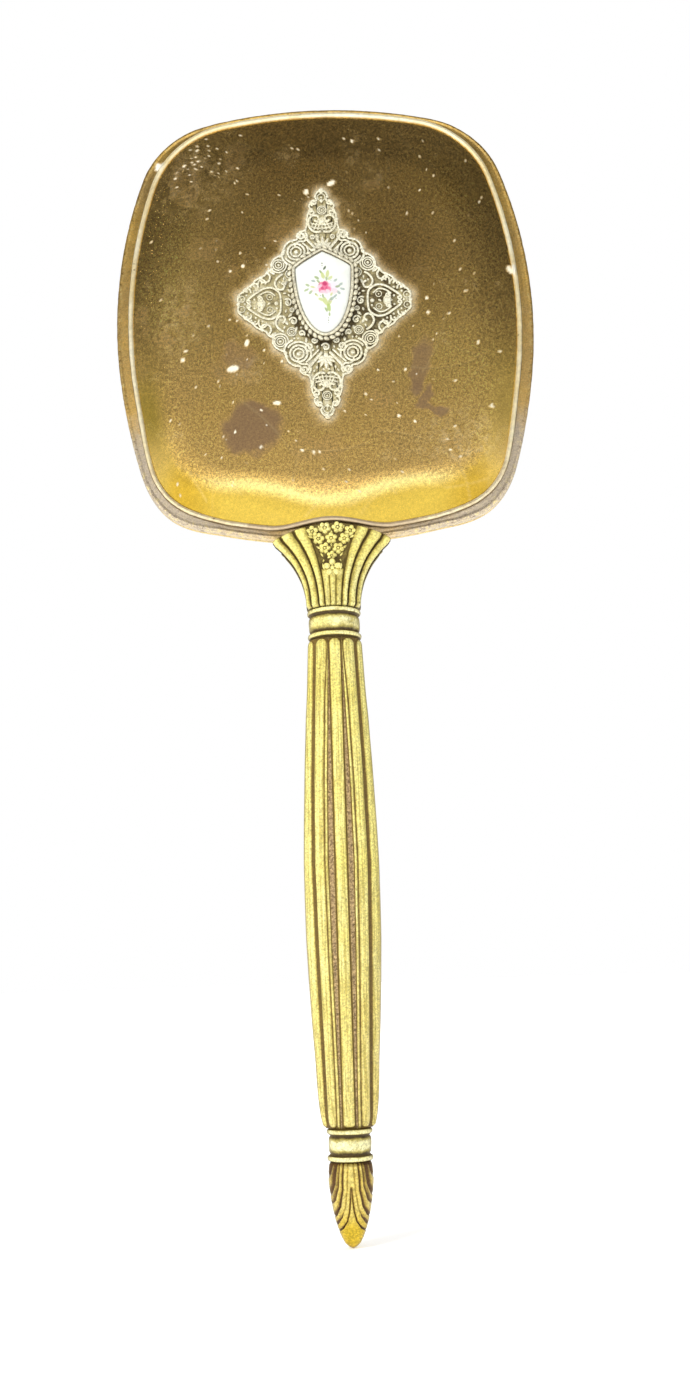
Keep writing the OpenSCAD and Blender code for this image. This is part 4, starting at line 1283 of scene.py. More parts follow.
def socket_half(sign):
    """Heights, points with y outward, and darkness of the back (1) or front (-1) half."""
    back = sign > 0
    top = SOCKET_TOP if back else SOCKET_FRONT_TOP
    z = np.r_[np.linspace(SOCKET_BOTTOM, SOCKET_BOTTOM + 1, 6),
              np.linspace(SOCKET_BOTTOM + 1.2, top - 1.2, 70), np.linspace(top - 1, top, 9)]
    widths, bend, depth = (np.interp(z, SOCKET_STATIONS[:, 0], SOCKET_STATIONS[:, column])
                           for column in (1, 2, 3))
    half_w = np.convolve(np.pad(widths, 4, mode="edge"), np.ones(9) / 9, "valid")
    half_w[-8:] = widths[-8:]
    if not back:
        depth = np.interp(z, *SOCKET_FRONT_DEPTH.T)
    rise = (z - SOCKET_BOTTOM) / (SOCKET_TOP - SOCKET_BOTTOM)
    # places between the lobes, as shares of the half-width
    limits = (1, 0.82 + 0.05 * rise, 0.52 + 0.13 * rise, 0.30 + 0.11 * rise)
    points = np.zeros((len(z), len(SOCKET_SECTION), 3))
    cav = np.zeros(points.shape[:2])
    end = np.sqrt(1 - (1 - np.clip((top - z) / 1.1, 0, 1)) ** 2) if back else np.ones(len(z))
    start = np.clip((z - SOCKET_BOTTOM - 0.1) / 0.8, 0, 1) ** 0.5
    for j, (lobe, part, side) in enumerate(SOCKET_SECTION):
        wedge = 0.0
        if lobe == CENTRE_LOBE:
            place = limits[3] * (2 * part - 1)
            low = 1 - ease(0.40, 0.46, rise) if back else np.ones(len(z))
            height = hump((part * 3) % 1.0 if part < 1 else 1.0, 2.4, 0.5) * low * 0.6
            # painted shade: darker where the middle lobe's ribs are low
            dark = (1 - np.clip(height, 0, 1) ** 0.8 * 1.05) * 0.9
            if back:
                wedge = ease(0.42, 0.5, rise) * 0.55 * (1 - (2 * part - 1) ** 6)
                # painted shade on the ground between the flowers
                dark = np.where(rise > 0.43, 0.84, dark)
        else:
            outer, inner = limits[lobe], limits[lobe + 1]
            place = (outer - (outer - inner) * part) * side
            height = hump(part, 2.0, 0.62)
            # painted shade across each lobe, dark lines at its edges, darker at its upper end
            dark = (edge_lines(part, 0.085) + 0.02 + 0.50 * ease(0.42, 0.92, part)
                    + 0.32 * ease(0.28, 0.0, part) + 0.55 * (1 - end))
            if lobe == 0 and part < 0.06:
                dark = 0.5
        angle = np.arcsin(np.clip(place, -1, 1))
        round_off = np.cos(angle) ** (0.80 - 0.35 * rise)
        if back:
            base_y = 0.34 + (depth - 0.55 - 0.34 * rise) * round_off
            lowest_y = 0.33 * ease(199.9, 200.4, z)
        else:
            base_y = (depth - 0.55) * round_off
            lowest_y = 0
        out = height * start * end
        normal_x, normal_y = np.sin(angle) / half_w, np.cos(angle) / np.maximum(depth, 1)
        length = np.hypot(normal_x, normal_y)
        points[:, j, 0] = (half_w - 0.50) * place + out * normal_x / length
        points[:, j, 1] = np.maximum(base_y + out * normal_y / length - wedge * 0.5, lowest_y)
        points[:, j, 2] = z - bend * points[:, j, 0] ** 2 / (2 * ARCH_R)
        cav[:, j] = dark
    return z, points, cav


def socket_shell(side_name, sign):
    """Close a half with an inner face near the middle plane; returns its heights, points."""
    z, points, cav = socket_half(sign)
    points[:, :, 1] *= sign
    inner = points.copy()
    inner[:, :, 1] = np.where(z[:, None] > 200.3, 0.34, 0.02) if sign > 0 else -0.02
    inner[:, :, 0] *= 0.999
    rows, cols = cav.shape
    faces = grid_faces(2 * rows, cols, True, False)
    i = np.arange(rows - 1)
    ends = np.stack([i * cols, (i + 1) * cols, (2 * rows - 2 - i) * cols,
                     (2 * rows - 1 - i) * cols], -1)
    faces += ends.tolist() + (ends[:, ::-1] + cols - 1).tolist()
    add_piece("handle_socket_" + side_name,
              np.concatenate([points, inner[::-1]]).reshape(-1, 3),
              flipped(faces) if sign > 0 else faces, SOCKET, "handle_gilt", "handle_socket",
              cav=np.concatenate([cav, np.full_like(cav, 0.8)]).reshape(-1))
    return z, points


socket_z, socket_points = socket_shell("back", 1)
socket_shell("front", -1)


# ------------------------------------------------------------------ small relief shapes
# each returns points, faces and darkness (painted shade round its foot and below), standing up
# from its surface towards +Y
def dome(x, y, z, radius, height, sides=14, rings=5, squash=1.0, turn=0.0):
    """Rounded button, closed below."""
    points = []
    for i in range(rings):
        lift = math.pi / 2 * i / rings
        for j in range(sides):
            angle = 2 * math.pi * j / sides
            across = radius * math.cos(lift) * math.cos(angle)
            along = radius * squash * math.cos(lift) * math.sin(angle)
            points.append((x + across * math.cos(turn) - along * math.sin(turn),
                           y + height * math.sin(lift),
                           z + across * math.sin(turn) + along * math.cos(turn)))
    points.append((x, y + height, z))
    points += [(px, y - 0.25, pz) for px, _, pz in points[:sides]]
    top = rings * sides
    base = top + 1
    faces = []
    for i in range(rings - 1):
        for j in range(sides):
            after = (j + 1) % sides
            faces.append((i * sides + j, (i + 1) * sides + j, (i + 1) * sides + after,
                          i * sides + after))
    for j in range(sides):
        faces.append((top - sides + j, top, top - sides + (j + 1) % sides))
    for j in range(sides):
        after = (j + 1) % sides
        faces.append((j, after, base + after, base + j))
    faces.append(tuple(base + j for j in range(sides)))
    # painted shade round the foot, none on top, dark below
    cav = [0.35] * sides + [0.0] * (top - sides + 1) + [1.0] * sides
    return points, faces, np.array(cav)


def tube(path, radius, y, closed=False, sides=8, flat=1.0):
    """Round wire along (x, z) points at height y; flat scales its height."""
    path = np.asarray(path, float)
    count = len(path)
    along = np.roll(path, -1, 0) - np.roll(path, 1, 0) if closed else np.gradient(path, axis=0)
    along /= np.linalg.norm(along, axis=1)[:, None] + 1e-9
    angle = 2 * math.pi * np.arange(sides) / sides
    points = np.zeros((count, sides, 3))
    for j in range(sides):
        points[:, j, 0] = path[:, 0] + -along[:, 1] * radius * math.cos(angle[j])
        points[:, j, 2] = path[:, 1] + along[:, 0] * radius * math.cos(angle[j])
        points[:, j, 1] = y + radius * flat * math.sin(angle[j])
    faces = grid_faces(count, sides, closed, True)
    if not closed:
        faces += [list(range(sides))[::-1], [(count - 1) * sides + j for j in range(sides)]]
    sin = np.sin(angle)
    # painted shade: dark underside, half-dark sides, light top
    cav = np.tile(np.where(sin < 0.1, 0.95, np.where(sin < 0.6, 0.30, 0.0)), count)
    return points.reshape(-1, 3), faces, cav


def leaf(x, z, length, width, angle, y, height):
    """Pointed leaf with a raised midrib."""
    rows, cols = 9, 5
    points, cav = [], []
    for i in range(rows):
        part = i / (rows - 1)
        half_w = (width / 2 * math.sin(math.pi * min(1, part * 1.02 + 0.001)) ** 0.8
                  * (1 - 0.25 * part) + 0.01)
        for j in range(cols):
            off = -1 + 2 * j / (cols - 1)
            along, across = length * part, half_w * off
            lift = (height * (0.35 + 0.65 * (1 - abs(off)))
                    * math.sin(math.pi * (0.08 + 0.9 * part)) ** 0.5)
            points.append((x + along * math.cos(angle) - across * math.sin(angle), y + lift,
                           z + along * math.sin(angle) + across * math.cos(angle)))
            # painted shade along the leaf's edges
            cav.append(0.55 if abs(off) > 0.9 else 0.0)
    count = len(points)
    points += [(px, y - 0.25, pz) for px, _, pz in points]
    faces = grid_faces(rows, cols) + grid_faces(rows, cols, start=count, flip=True)
    for i in range(rows - 1):
        here, after = i * cols, (i + 1) * cols
        faces.append((here, count + here, count + after, after))
        here, after = here + cols - 1, after + cols - 1
        faces.append((here, after, count + after, count + here))
    tip = (rows - 1) * cols
    for j in range(cols - 1):
        faces.append((j, j + 1, count + j + 1, count + j))
        faces.append((tip + j + 1, tip + j, count + tip + j, count + tip + j + 1))
    return points, faces, cav + [1.0] * count


def circle(x, z, radius, count, start=0.0, end=None):
    """Points of a closed circle, or of an arc when its end angle is given."""
    if end is None:
        angle = start + 2 * math.pi * (np.arange(count) / count)
    else:
        angle = start + (end - start) * (np.arange(count) / (count - 1))
    return np.c_[x + radius * np.cos(angle), z + radius * np.sin(angle)]


def spiral(x, z, first_r, last_r, start, turns, count=44):
    part = np.linspace(0, 1, count)
    angle = start + turns * 2 * math.pi * part
    radius = first_r + (last_r - first_r) * part
    return np.c_[x + radius * np.cos(angle), z + radius * np.sin(angle)]


# ------------------------------------------------------------------ socket flowers
# x, z, radius, turn of the petals
FLOWERS = [(5.7, 203.9, 1.85, 0.2), (1.95, 205.0, 1.85, 0.9), (-1.9, 205.1, 1.8, 0.1),
           (-5.6, 203.9, 1.8, 0.7), (3.9, 201.5, 1.8, 0.5), (0.1, 201.6, 1.8, 0.3),
           (-3.8, 201.4, 1.75, 1.1), (2.1, 198.4, 1.75, 0.6), (-1.9, 198.3, 1.75, 0.9),
           (0.1, 195.9, 1.5, 0.5), (0, 192.0, 2.9, 0.31)]
# x, z, length, width, angle
FLOWER_LEAVES = [
    (3.9, 205.9, 1.6, 0.9, 4.3), (-3.9, 205.9, 1.6, 0.9, 5.1), (0.0, 204.2, 1.5, 0.8, 4.7),
    (7.0, 202.4, 1.7, 0.9, 3.6), (-6.8, 202.3, 1.7, 0.9, 5.8), (4.6, 199.2, 2.0, 0.9, 3.8),
    (-4.4, 199.2, 2.0, 0.9, 5.6), (3.4, 197.0, 2.0, 0.9, 4.2), (-3.2, 197.0, 2.0, 0.9, 5.3),
    (0.1, 200.2, 1.4, 0.8, 4.7), (2.6, 194.9, 1.8, 0.9, 4.5), (-2.5, 194.9, 1.8, 0.9, 4.9),
    (2.3, 191.3, 2.2, 0.9, 1.3), (-2.3, 191.3, 2.2, 0.9, 1.8)]
LARGE_FLOWER = 2.5


def socket_y(x, z):
    """Height of the socket's back near x, z."""
    i = np.searchsorted(socket_z, z + x * x / (2 * ARCH_R) * 0.9)
    row = socket_points[np.clip(i, 0, len(socket_z) - 1)]
    return float(np.interp(x, row[:, 0], row[:, 1]))


def flower(soup, x, z, radius, turn):
    y = socket_y(x, z)
    large = radius > LARGE_FLOWER
    if large:
        # a dark disc behind the large flower: painted shade
        points, faces, _ = dome(x, y - 0.1, z, radius * 1.12, 0.42, 26, 4)
        soup.add(points, faces, 1.0)
    size, height, squash = (0.45, 1.25, 0.84) if large else (0.50, 0.95, 0.92)
    for k in range(5):
        angle = 2 * math.pi * k / 5 + turn
        points, faces, cav = dome(x + 0.58 * radius * math.cos(angle), y - 0.05,
                                  z + 0.58 * radius * math.sin(angle), radius * size, height,
                                  16, 6, squash, angle)
        # painted shade on the lower rings of each petal
        cav[:48] = np.repeat((1.1, 1.0, 0.42) if large else (1.1, 0.75, 0.15), 16)
        soup.add(points, faces, cav)
    points, faces, _ = tube(circle(x, z, radius * 0.30, 16), radius * 0.07, y + 0.62, True, 6)
    soup.add(points, faces, 0.8)
    soup.add(*dome(x, y + 0.35, z, radius * 0.24, 0.62, 12, 4))


flowers = Soup()
for row in FLOWERS:
    flower(flowers, *row)
for x, z, length, width, angle in FLOWER_LEAVES:
    flowers.add(*leaf(x, z, length, width, angle, socket_y(x, z) - 0.05, 0.5))
flowers.piece("handle_socket_flowers", SOCKET, "handle_gilt")

# ------------------------------------------------------------------ shield outline
shield_lo, shield_hi = box_mm("shield_cabochon")
SHIELD_Z = (shield_lo[2] + shield_hi[2]) / 2
SHIELD_HALF_H = (shield_hi[2] - shield_lo[2]) / 2
SHIELD_HALF_W = (shield_hi[0] - shield_lo[0]) / 2
SHIELD_TILT = math.radians(-1.2)
SHOULDER = 5.4                      # from the apex down to the widest place
CUP_MARGIN = 1.9                    # room the cup takes round the shield


def shield_half_width(down):
    """Half-width at a distance below the apex."""
    upper = SHIELD_HALF_W * (1 - np.clip(1 - down / SHOULDER, 0, 1) ** 1.2)
    part = np.clip((down - SHOULDER) / (2 * SHIELD_HALF_H - SHOULDER), 0, 1)
    lower = SHIELD_HALF_W * np.clip(1 - part ** 2.2, 0, 1) ** 0.52
    return np.where(down < SHOULDER, upper, lower)


def arc_lengths(loop):
    """The loop with its first point repeated, and the distance along it."""
    loop = np.concatenate([loop, loop[:1]])
    return loop, np.r_[0, np.cumsum(np.linalg.norm(np.diff(loop, axis=0), axis=1))]


def shield_outline(count):
    down = 2 * SHIELD_HALF_H * (0.5 - 0.5 * np.cos(np.linspace(0, math.pi, count // 2)))
    padded = np.pad(shield_half_width(down), 2, mode="reflect", reflect_type="odd")
    half_w = np.convolve(padded, np.array([1, 2, 3, 2, 1]) / 9, "valid")
    half_w[0] = half_w[-1] = 0.0
    right = np.c_[half_w, SHIELD_HALF_H - down]
    left = np.c_[-half_w, SHIELD_HALF_H - down][::-1][1:-1]
    loop, lengths = arc_lengths(np.concatenate([right, left]))
    even = np.linspace(0, lengths[-1], count, endpoint=False)
    return np.c_[np.interp(even, lengths, loop[:, 0]), np.interp(even, lengths, loop[:, 1])]


SHIELD_COUNT = 420
SHIELD = shield_outline(SHIELD_COUNT)

# ------------------------------------------------------------------ medallion ground
MEDAL_BACK = medal_lo[1]
GROUND_Y = MEDAL_BACK + 0.42                  # surface the relief stands on
BORDER_CURVE = smooth_open(BORDER, 4)


def medallion_ground():
    """Thin plate of the whole outline, drawn in slightly, mottled, with painted shade round the
    cup and on the -X side.
    """
    right, left = BORDER_CURVE, BORDER_CURVE * (-1, 1)
    outline = np.concatenate([right[:-1], (right * (1, -1))[::-1][:-1],
                              (left * (1, -1))[:-1], left[::-1][:-1]])
    count, rings = len(outline), 22
    out_x, out_z = outline.T
    points = [np.c_[out_x * 0.985, np.full(count, y), out_z * 0.99]
              for y in (MEDAL_BACK + 0.01, GROUND_Y - 0.08)]
    for size in np.linspace(1, 0.03, rings):
        points.append(np.c_[out_x * 0.96 * size, np.full(count, GROUND_Y),
                            out_z * 0.97 * size])
    points = np.concatenate(points + [np.array([[0, GROUND_Y, 0.0],
                                                [0, MEDAL_BACK + 0.01, 0.0]])])
    faces = grid_faces(rings + 2, count, False, True)
    centre = (rings + 2) * count
    for i in range(count):
        after = (i + 1) % count
        faces += [(centre - count + i, centre - count + after, centre),
                  (after, i, centre + 1)]
    x, z = points[:, 0], points[:, 2]
    cup = np.hypot(x / (SHIELD_HALF_W + CUP_MARGIN),
                   (z - (SHIELD_Z - MEDAL_Z) + 0.4) / (SHIELD_HALF_H + CUP_MARGIN))
    blotches = ease(0.53, 0.62, noise(x / 1.9 + 7, z / 1.9, 68, 2))
    # painted shade: darker towards -X, in a ring round the cup that is stronger below it, under
    # the cup and on the -X wing; the rest is mottling
    cav = (0.39 + 0.40 * blotches * (0.38 + 0.62 * ease(5, -6, x))
           + (0.16 + 0.33 * ease(2, -8, z)) * bell(cup - 1.0, 0.08) + 0.3 * (cup < 1)
           + 0.70 * (noise(x / 1.7, z / 1.7, 66, 3) - 0.5)
           + 0.30 * ease(-5, -14, x) * ease(-26, -20, x))
    points[:, 2] += MEDAL_Z
    ground = Soup()
    ground.add(points, faces, np.clip(cav, 0, 1.1))
    ground.piece("medallion_ground", FILIGREE, "filigree", "filigree_medallion")


medallion_ground()

# ------------------------------------------------------------------ medallion scrolls
# each shape is laid out in one quarter, x and z from the centre, and mirrored into the rest
scrolls = Soup()


def quarter_places(x, z, order, angle=None):
    """Mirrored (x, z, angle), each once; z is lifted to the medallion."""
    places = {}
    for sign_x, sign_z in order:
        turned = angle
        key = (round(x * sign_x, 3), round(z * sign_z, 3))
        if angle is not None:
            if sign_x < 0:
                turned = math.pi - turned
            if sign_z < 0:
                turned = -turned
            key += (round(math.cos(turned), 3), round(math.sin(turned), 3))
        places.setdefault(key, (x * sign_x, z * sign_z + MEDAL_Z, turned))
    return places.values()


def wires(path, radius):
    for signs in ACROSS_FIRST:
        mirrored = np.asarray(path, float) * signs
        mirrored[:, 1] += MEDAL_Z
        points, faces, cav = tube(mirrored, radius * 1.48, GROUND_Y + 0.12, flat=1.15)
        scrolls.add(points, flipped(faces) if signs[0] * signs[1] < 0 else faces, cav)


def curves(radius, steps, *path):
    wires(smooth_open(path, steps), radius)


def curls(radius, *place):
    wires(spiral(*place), radius)


def arcs(radius, x, z, arc_r, count, start, end):
    wires(circle(x, z, arc_r, count, math.radians(start), math.radians(end)), radius)


def balls(x, z, radius, height=None):
    for ball_x, ball_z, _ in quarter_places(x, z, ACROSS_FIRST):
        scrolls.add(*dome(ball_x, GROUND_Y, ball_z, radius, height or radius * 0.95))


def rosettes(x, z, radius):
    """Ring with a button; larger ones add an inner ring, the largest a circle of beads."""
    for mid_x, mid_z, _ in quarter_places(x, z, DOWN_FIRST):
        scrolls.add(*tube(circle(mid_x, mid_z, radius * 0.86, 34), radius * 0.135,
                          GROUND_Y + 0.16, True, flat=1.2))
        if radius > 1.5:
            scrolls.add(*tube(circle(mid_x, mid_z, radius * 0.52, 26), radius * 0.110,
                              GROUND_Y + 0.2, True, flat=1.3))
        scrolls.add(*dome(mid_x, GROUND_Y, mid_z, radius * 0.24, 0.5, 12, 4))
        if radius > 2.4:
            for k in range(12):
                angle = 2 * math.pi * k / 12
                scrolls.add(*dome(mid_x + radius * 0.69 * math.cos(angle), GROUND_Y,
                                  mid_z + radius * 0.69 * math.sin(angle),
                                  radius * 0.065, 0.22, 7, 3))


def leaves(x, z, length, width, degrees, height=0.42):
    for leaf_x, leaf_z, angle in quarter_places(x, z, DOWN_FIRST, math.radians(degrees)):
        scrolls.add(*leaf(leaf_x, leaf_z, length, width * 1.3, angle, GROUND_Y, height))


# border wire and its beads
wires(BORDER_CURVE * 0.985, 0.25)
for i in range(2, len(BORDER) - 1, 2):
    balls(BORDER[i][0] * 0.975, BORDER[i][1] * 0.982, 0.5 if i % 4 else 0.62)
# tip: button, curls, small ring, basket
balls(0, 36.6, 0.95, 0.9)
rosettes(0, 34.4, 1.35)
curls(0.27, 2.35, 32.6, 1.0, 0.25, -1.2, 1.3)
curls(0.27, 3.0, 29.4, 1.15, 0.25, 1.8, -1.3)
rosettes(0, 30.1, 1.55)
leaves(0, 32.6, 1.5, 1.1, 90)
curves(0.30, 6, (0.3, 23.0), (2.2, 22.9), (3.7, 24.2), (4.2, 26.2), (3.3, 28.1), (1.6, 28.3),
       (0.9, 27.2), (1.6, 26.3), (2.3, 26.9))
for x in (0.0, 1.3, 2.6):
    wires([(x, 23.3 + 0.15 * x), (x * 0.75, 25.0), (x * 0.3 + 0.2, 26.9)], 0.2)
for z in (24.2, 25.4):
    wires([(0, z - 0.2), (1.8, z), (3.5, z + 0.5)], 0.2)
# palmette of seven leaves below the basket, and the stems that frame it
for degrees, length in ((90, 4.3), (62, 3.9), (36, 3.4), (12, 2.7)):
    leaves(0.15 * math.cos(math.radians(degrees)), 17.6, length, 1.25, degrees, 0.5)
balls(0, 17.2, 0.8)
curves(0.34, 8, (1.2, 16.3), (3.2, 18.6), (5.0, 20.9), (5.9, 22.6))
curves(0.24, 8, (2.1, 15.4), (4.2, 17.6), (6.1, 19.4))
# S-scrolls on the shoulder
curls(0.28, 6.7, 21.6, 1.25, 0.3, 0.4, 1.25)
curves(0.26, 6, (5.2, 22.9), (4.6, 21.4), (5.6, 20.0), (7.2, 19.9), (8.4, 19.0), (8.2, 17.9))
balls(6.7, 21.6, 0.42)
# large rosettes and the arcs that cradle them
rosettes(8.2, 16.5, 3.05)
arcs(0.28, 8.2, 16.5, 3.75, 26, 150, 330)
curls(0.27, 4.9, 14.4, 1.5, 0.35, 2.6, -1.3)
curves(0.3, 7, (11.9, 17.3), (12.6, 15.3), (11.6, 13.2), (9.9, 12.1))
rosettes(13.7, 12.4, 1.95)
arcs(0.22, 13.7, 12.4, 2.45, 22, 160, 340)
rosettes(10.2, 9.4, 1.55)
curves(0.28, 7, (12.5, 9.4), (14.1, 8.2), (14.9, 6.4), (14.1, 4.6), (12.6, 4.4), (12.0, 5.6),
       (12.9, 6.5))
curves(0.26, 7, (17.4, 10.2), (16.4, 8.8), (16.9, 7.2), (18.6, 6.9), (19.4, 8.0), (18.6, 8.8))
leaves(14.8, 9.4, 2.6, 1.1, 35)
leaves(11.2, 7.2, 2.3, 1.0, -60)
balls(15.7, 11.2, 0.5)
# wings: teardrop with inner rosettes, ring pair at the tip, scalloped arcs
curves(0.27, 8, (13.2, 0.0), (13.6, 3.2), (15.9, 5.0), (18.6, 4.7), (21.4, 2.9), (23.2, 1.5))
curls(0.22, 22.9, 0.75, 0.75, 0.2, 1.6, -1.2, 24)
curves(0.20, 8, (14.9, 2.4), (16.6, 3.7), (18.6, 3.4), (20.4, 2.1))
curls(0.22, 19.6, 1.4, 0.95, 0.25, 0.6, 1.3, 26)
rosettes(16.6, 2.05, 1.05)
rosettes(25.2, 1.65, 1.15)
balls(26.3, 0.0, 0.6)
leaves(18.2, 0.0, 2.8, 1.2, 0)
leaves(18.0, 0.5, 2.5, 0.9, 32)
balls(14.6, 0.0, 0.65)
for x, z in ((23.5, 3.9), (21.2, 5.5), (18.9, 6.6)):
    arcs(0.24, x, z, 1.15, 16, -20, 200)
    balls(x, z + 0.2, 0.36)
# leaves round the cup
for degrees, reach in ((20, 11.2), (42, 12.2), (62, 13.2)):
    angle = math.radians(degrees)
    leaves(reach * math.cos(angle) * 0.93, reach * math.sin(angle) * 1.02 - 0.6, 1.9, 0.9,
           math.degrees(angle + 0.4))

# ------------------------------------------------------------------ medallion filling
CELL = 0.2
FIELD_X, FIELD_Z = 29, 40               # half-size of the grid of taken cells
CELLS_X, CELLS_Z = round(2 * FIELD_X / CELL), round(2 * FIELD_Z / CELL)
FILL_TRIES = 9000


def cup_half_width(z):
    """Half-width kept free for the cup, negative above and below it."""
    down = SHIELD_HALF_H - (z - (SHIELD_Z - MEDAL_Z))
    outside = (down < -CUP_MARGIN) | (down > 2 * SHIELD_HALF_H + CUP_MARGIN)
    return np.where(outside, -9, shield_half_width(down) + CUP_MARGIN)


def filler(x, z, radius, side, start, direction):
    """Curl, ring, leaf or bead, by size: a list of bits."""
    x, level = x * side, GROUND_Y + 0.15
    if radius >= 1.1:
        path = spiral(0, 0, radius * 0.86, radius * 0.30, start, 1.15 * direction, 30)
        path[:, 0] = path[:, 0] * side + x
        path[:, 1] += z + MEDAL_Z
        points, faces, cav = tube(path, 0.33, level, flat=1.25)
        return [(points, faces if side > 0 else flipped(faces), cav),
                dome(x, GROUND_Y, z + MEDAL_Z, radius * 0.30, 0.5, 12, 4)]
    if radius >= 0.8:
        return [tube(circle(x, z + MEDAL_Z, radius * 0.72, 18), 0.25, level, True, flat=1.3),
                dome(x, GROUND_Y, z + MEDAL_Z, radius * 0.34, 0.5, 10, 4)]
    if radius >= 0.6:
        return [leaf(x - 0.5 * math.cos(start) * side, z + MEDAL_Z - 0.5 * math.sin(start),
                     1.25, 0.85, start if side > 0 else math.pi - start, GROUND_Y, 0.45)]
    return [dome(x, GROUND_Y, z + MEDAL_Z, radius * 0.85, 0.42, 10, 4)]


def fill_field():
    """Small curls, rings, leaves and beads wherever they fit between the scrolls."""
    taken = np.zeros((CELLS_X, CELLS_Z), bool)
    grid_j, grid_i = np.meshgrid(np.arange(CELLS_Z), np.arange(CELLS_X))

    def mark(points):
        points = np.asarray(points, float)
        i = ((points[:, 0] + FIELD_X) / CELL).astype(int)
        j = ((points[:, 2] - MEDAL_Z + FIELD_Z) / CELL).astype(int)
        inside = (i >= 0) & (i < CELLS_X) & (j >= 0) & (j < CELLS_Z)
        taken[i[inside], j[inside]] = True

    for points in scrolls.points:
        mark(points)
    for radius in (1.5, 1.15, 0.85, 0.62, 0.45):
        reach = int(math.ceil((radius + 0.08) / CELL))
        tries_x = rng.uniform(0, 27, FILL_TRIES)
        tries_z = rng.uniform(-37, 37, FILL_TRIES)
        for x, z in zip(tries_x, tries_z):
            if x < radius:
                x = 0.0 if x < radius * 0.5 else radius + 0.1
            if x + radius * 0.95 > border_half_width(abs(z) + radius * 0.35) * 0.985:
                continue
            if (x - radius < cup_half_width(z)
                    or x - radius * 0.7 < cup_half_width(z - radius)
                    or x - radius * 0.7 < cup_half_width(z + radius)):
                continue
            i, j = int((x + FIELD_X) / CELL), int((z + FIELD_Z) / CELL)
            window = (slice(i - reach, i + reach + 1), slice(j - reach, j + reach + 1))
            disc = (grid_i[window] - i) ** 2 + (grid_j[window] - j) ** 2 <= reach * reach
            if taken[window][disc].any():
                continue
            start, direction = rng.uniform(0, 6.28), rng.choice((-1, 1))
            for side in ((1,) if x == 0.0 else (1, -1)):
                for bit in filler(x, z, radius, side, start, direction):
                    scrolls.add(*bit)
                    mark(bit[0])
                side_i = int((x * side + FIELD_X) / CELL)
                taken[(grid_i - side_i) ** 2 + (grid_j - j) ** 2
                      <= (radius * 0.85 / CELL) ** 2] = True


fill_field()
scrolls.piece("medallion_scrolls", FILIGREE, "filigree")


# ------------------------------------------------------------------ rivet heads
def rivet_heads():
    """Ringed buttons at the tips of the wings and at top and bottom."""
    lo, hi = box_mm("medallion_rivets")
    margin, front = 1.1, medal_hi[1]
    rivets = Soup()
    for x, z in ((lo[0] + margin, MEDAL_Z), (hi[0] - margin, MEDAL_Z),
                 (0, lo[2] + margin), (0, hi[2] - margin)):
        rivets.add(*dome(x, front - 0.1, z, 1.0, 0.55, 20, 6))
        rivets.add(*tube(circle(x, z, 1.12, 24), 0.16, front - 0.08, True))
    rivets.piece("medallion_rivet_heads", FILIGREE, "filigree", "medallion_rivets")


rivet_heads()


# ------------------------------------------------------------------ cup
def offset_loop(loop, distance):
    along = np.roll(loop, -1, 0) - np.roll(loop, 1, 0)
    along /= np.linalg.norm(along, axis=1)[:, None]
    normal = np.c_[-along[:, 1], along[:, 0]]
    if (loop * normal).sum() < 0:
        normal = -normal
    moved = loop + normal * distance
    for _ in range(3):
        moved = 0.5 * moved + 0.25 * (np.roll(moved, 1, 0) + np.roll(moved, -1, 0))
    return moved


def turned(points, angle=SHIELD_TILT):
    cos, sin = math.cos(angle), math.sin(angle)
    return np.c_[points[:, 0] * cos - points[:, 1] * sin,
                 points[:, 0] * sin + points[:, 1] * cos]


def cabochon_cup():
    lo, hi = box_mm("cabochon_cup")
    foot, lip = lo[1], hi[1]
    # foot, bulged side, rolled-in lip, inner wall: offset from the shield, y, darkness (painted
    # shade, darkest at the foot, none on the lip)
    section = [(1.95, foot + 0.02, 0.95), (2.0, foot + 0.45, 0.9), (1.75, foot + 0.95, 0.7),
               (1.12, foot + 1.25, 0.75), (0.86, lip - 0.75, 0.85), (0.80, lip - 0.30, 0.25),
               (0.55, lip + 0.02, 0.0), (0.15, lip + 0.05, 0.05), (-0.12, lip - 0.1, 0.6),
               (-0.12, foot + 0.3, 0.9), (-0.3, foot + 0.02, 1.0)]
    rings, cav = [], []
    for offset, y, dark in section:
        x, z = turned(offset_loop(SHIELD, offset)).T
        rings.append(np.c_[x, np.full(SHIELD_COUNT, y), z + SHIELD_Z])
        cav.append(np.full(SHIELD_COUNT, dark))
    cup = Soup()
    cup.add(np.concatenate(rings), grid_faces(len(section), SHIELD_COUNT, True, True),
            np.concatenate(cav))
    # rope of slanted beads round the wall
    loop, lengths = arc_lengths(turned(offset_loop(SHIELD, 1.48)))
    total = lengths[-1]
    count = int(round(total / 1.85))
    for k in range(count):
        place = total * (k + 0.5) / count
        (x, z), (next_x, next_z) = (
            (np.interp(spot, lengths, loop[:, 0]), np.interp(spot, lengths, loop[:, 1]))
            for spot in (place, (place + 0.2) % total))
        points, faces, cav = dome(x, foot + 0.90, z + SHIELD_Z, 0.98 + 0.07 * math.sin(k * 2.3),
                                  0.95, 18, 6, 0.66, math.atan2(next_z - z, next_x - x) + 0.45)
        # painted shade round the foot of each bead
        cav[:18], cav[18:36] = 0.85, 0.35
        cup.add(points, faces, cav)
    cup.piece("cabochon_cup_rope", CUP, "filigree", "cabochon_cup")


cabochon_cup()

# ------------------------------------------------------------------ enamel shield
GROUND_WHITE = np.array([0.80, 0.825, 0.765])
GREEN, LIME, DARK_GREEN = (0.26, 0.34, 0.15), (0.50, 0.55, 0.24), (0.09, 0.12, 0.07)
GREY_GREEN, LILAC = (0.27, 0.34, 0.31), (0.68, 0.62, 0.74)
PINK, CRIMSON, BLUSH = (0.68, 0.17, 0.28), (0.46, 0.045, 0.13), (0.86, 0.50, 0.58)
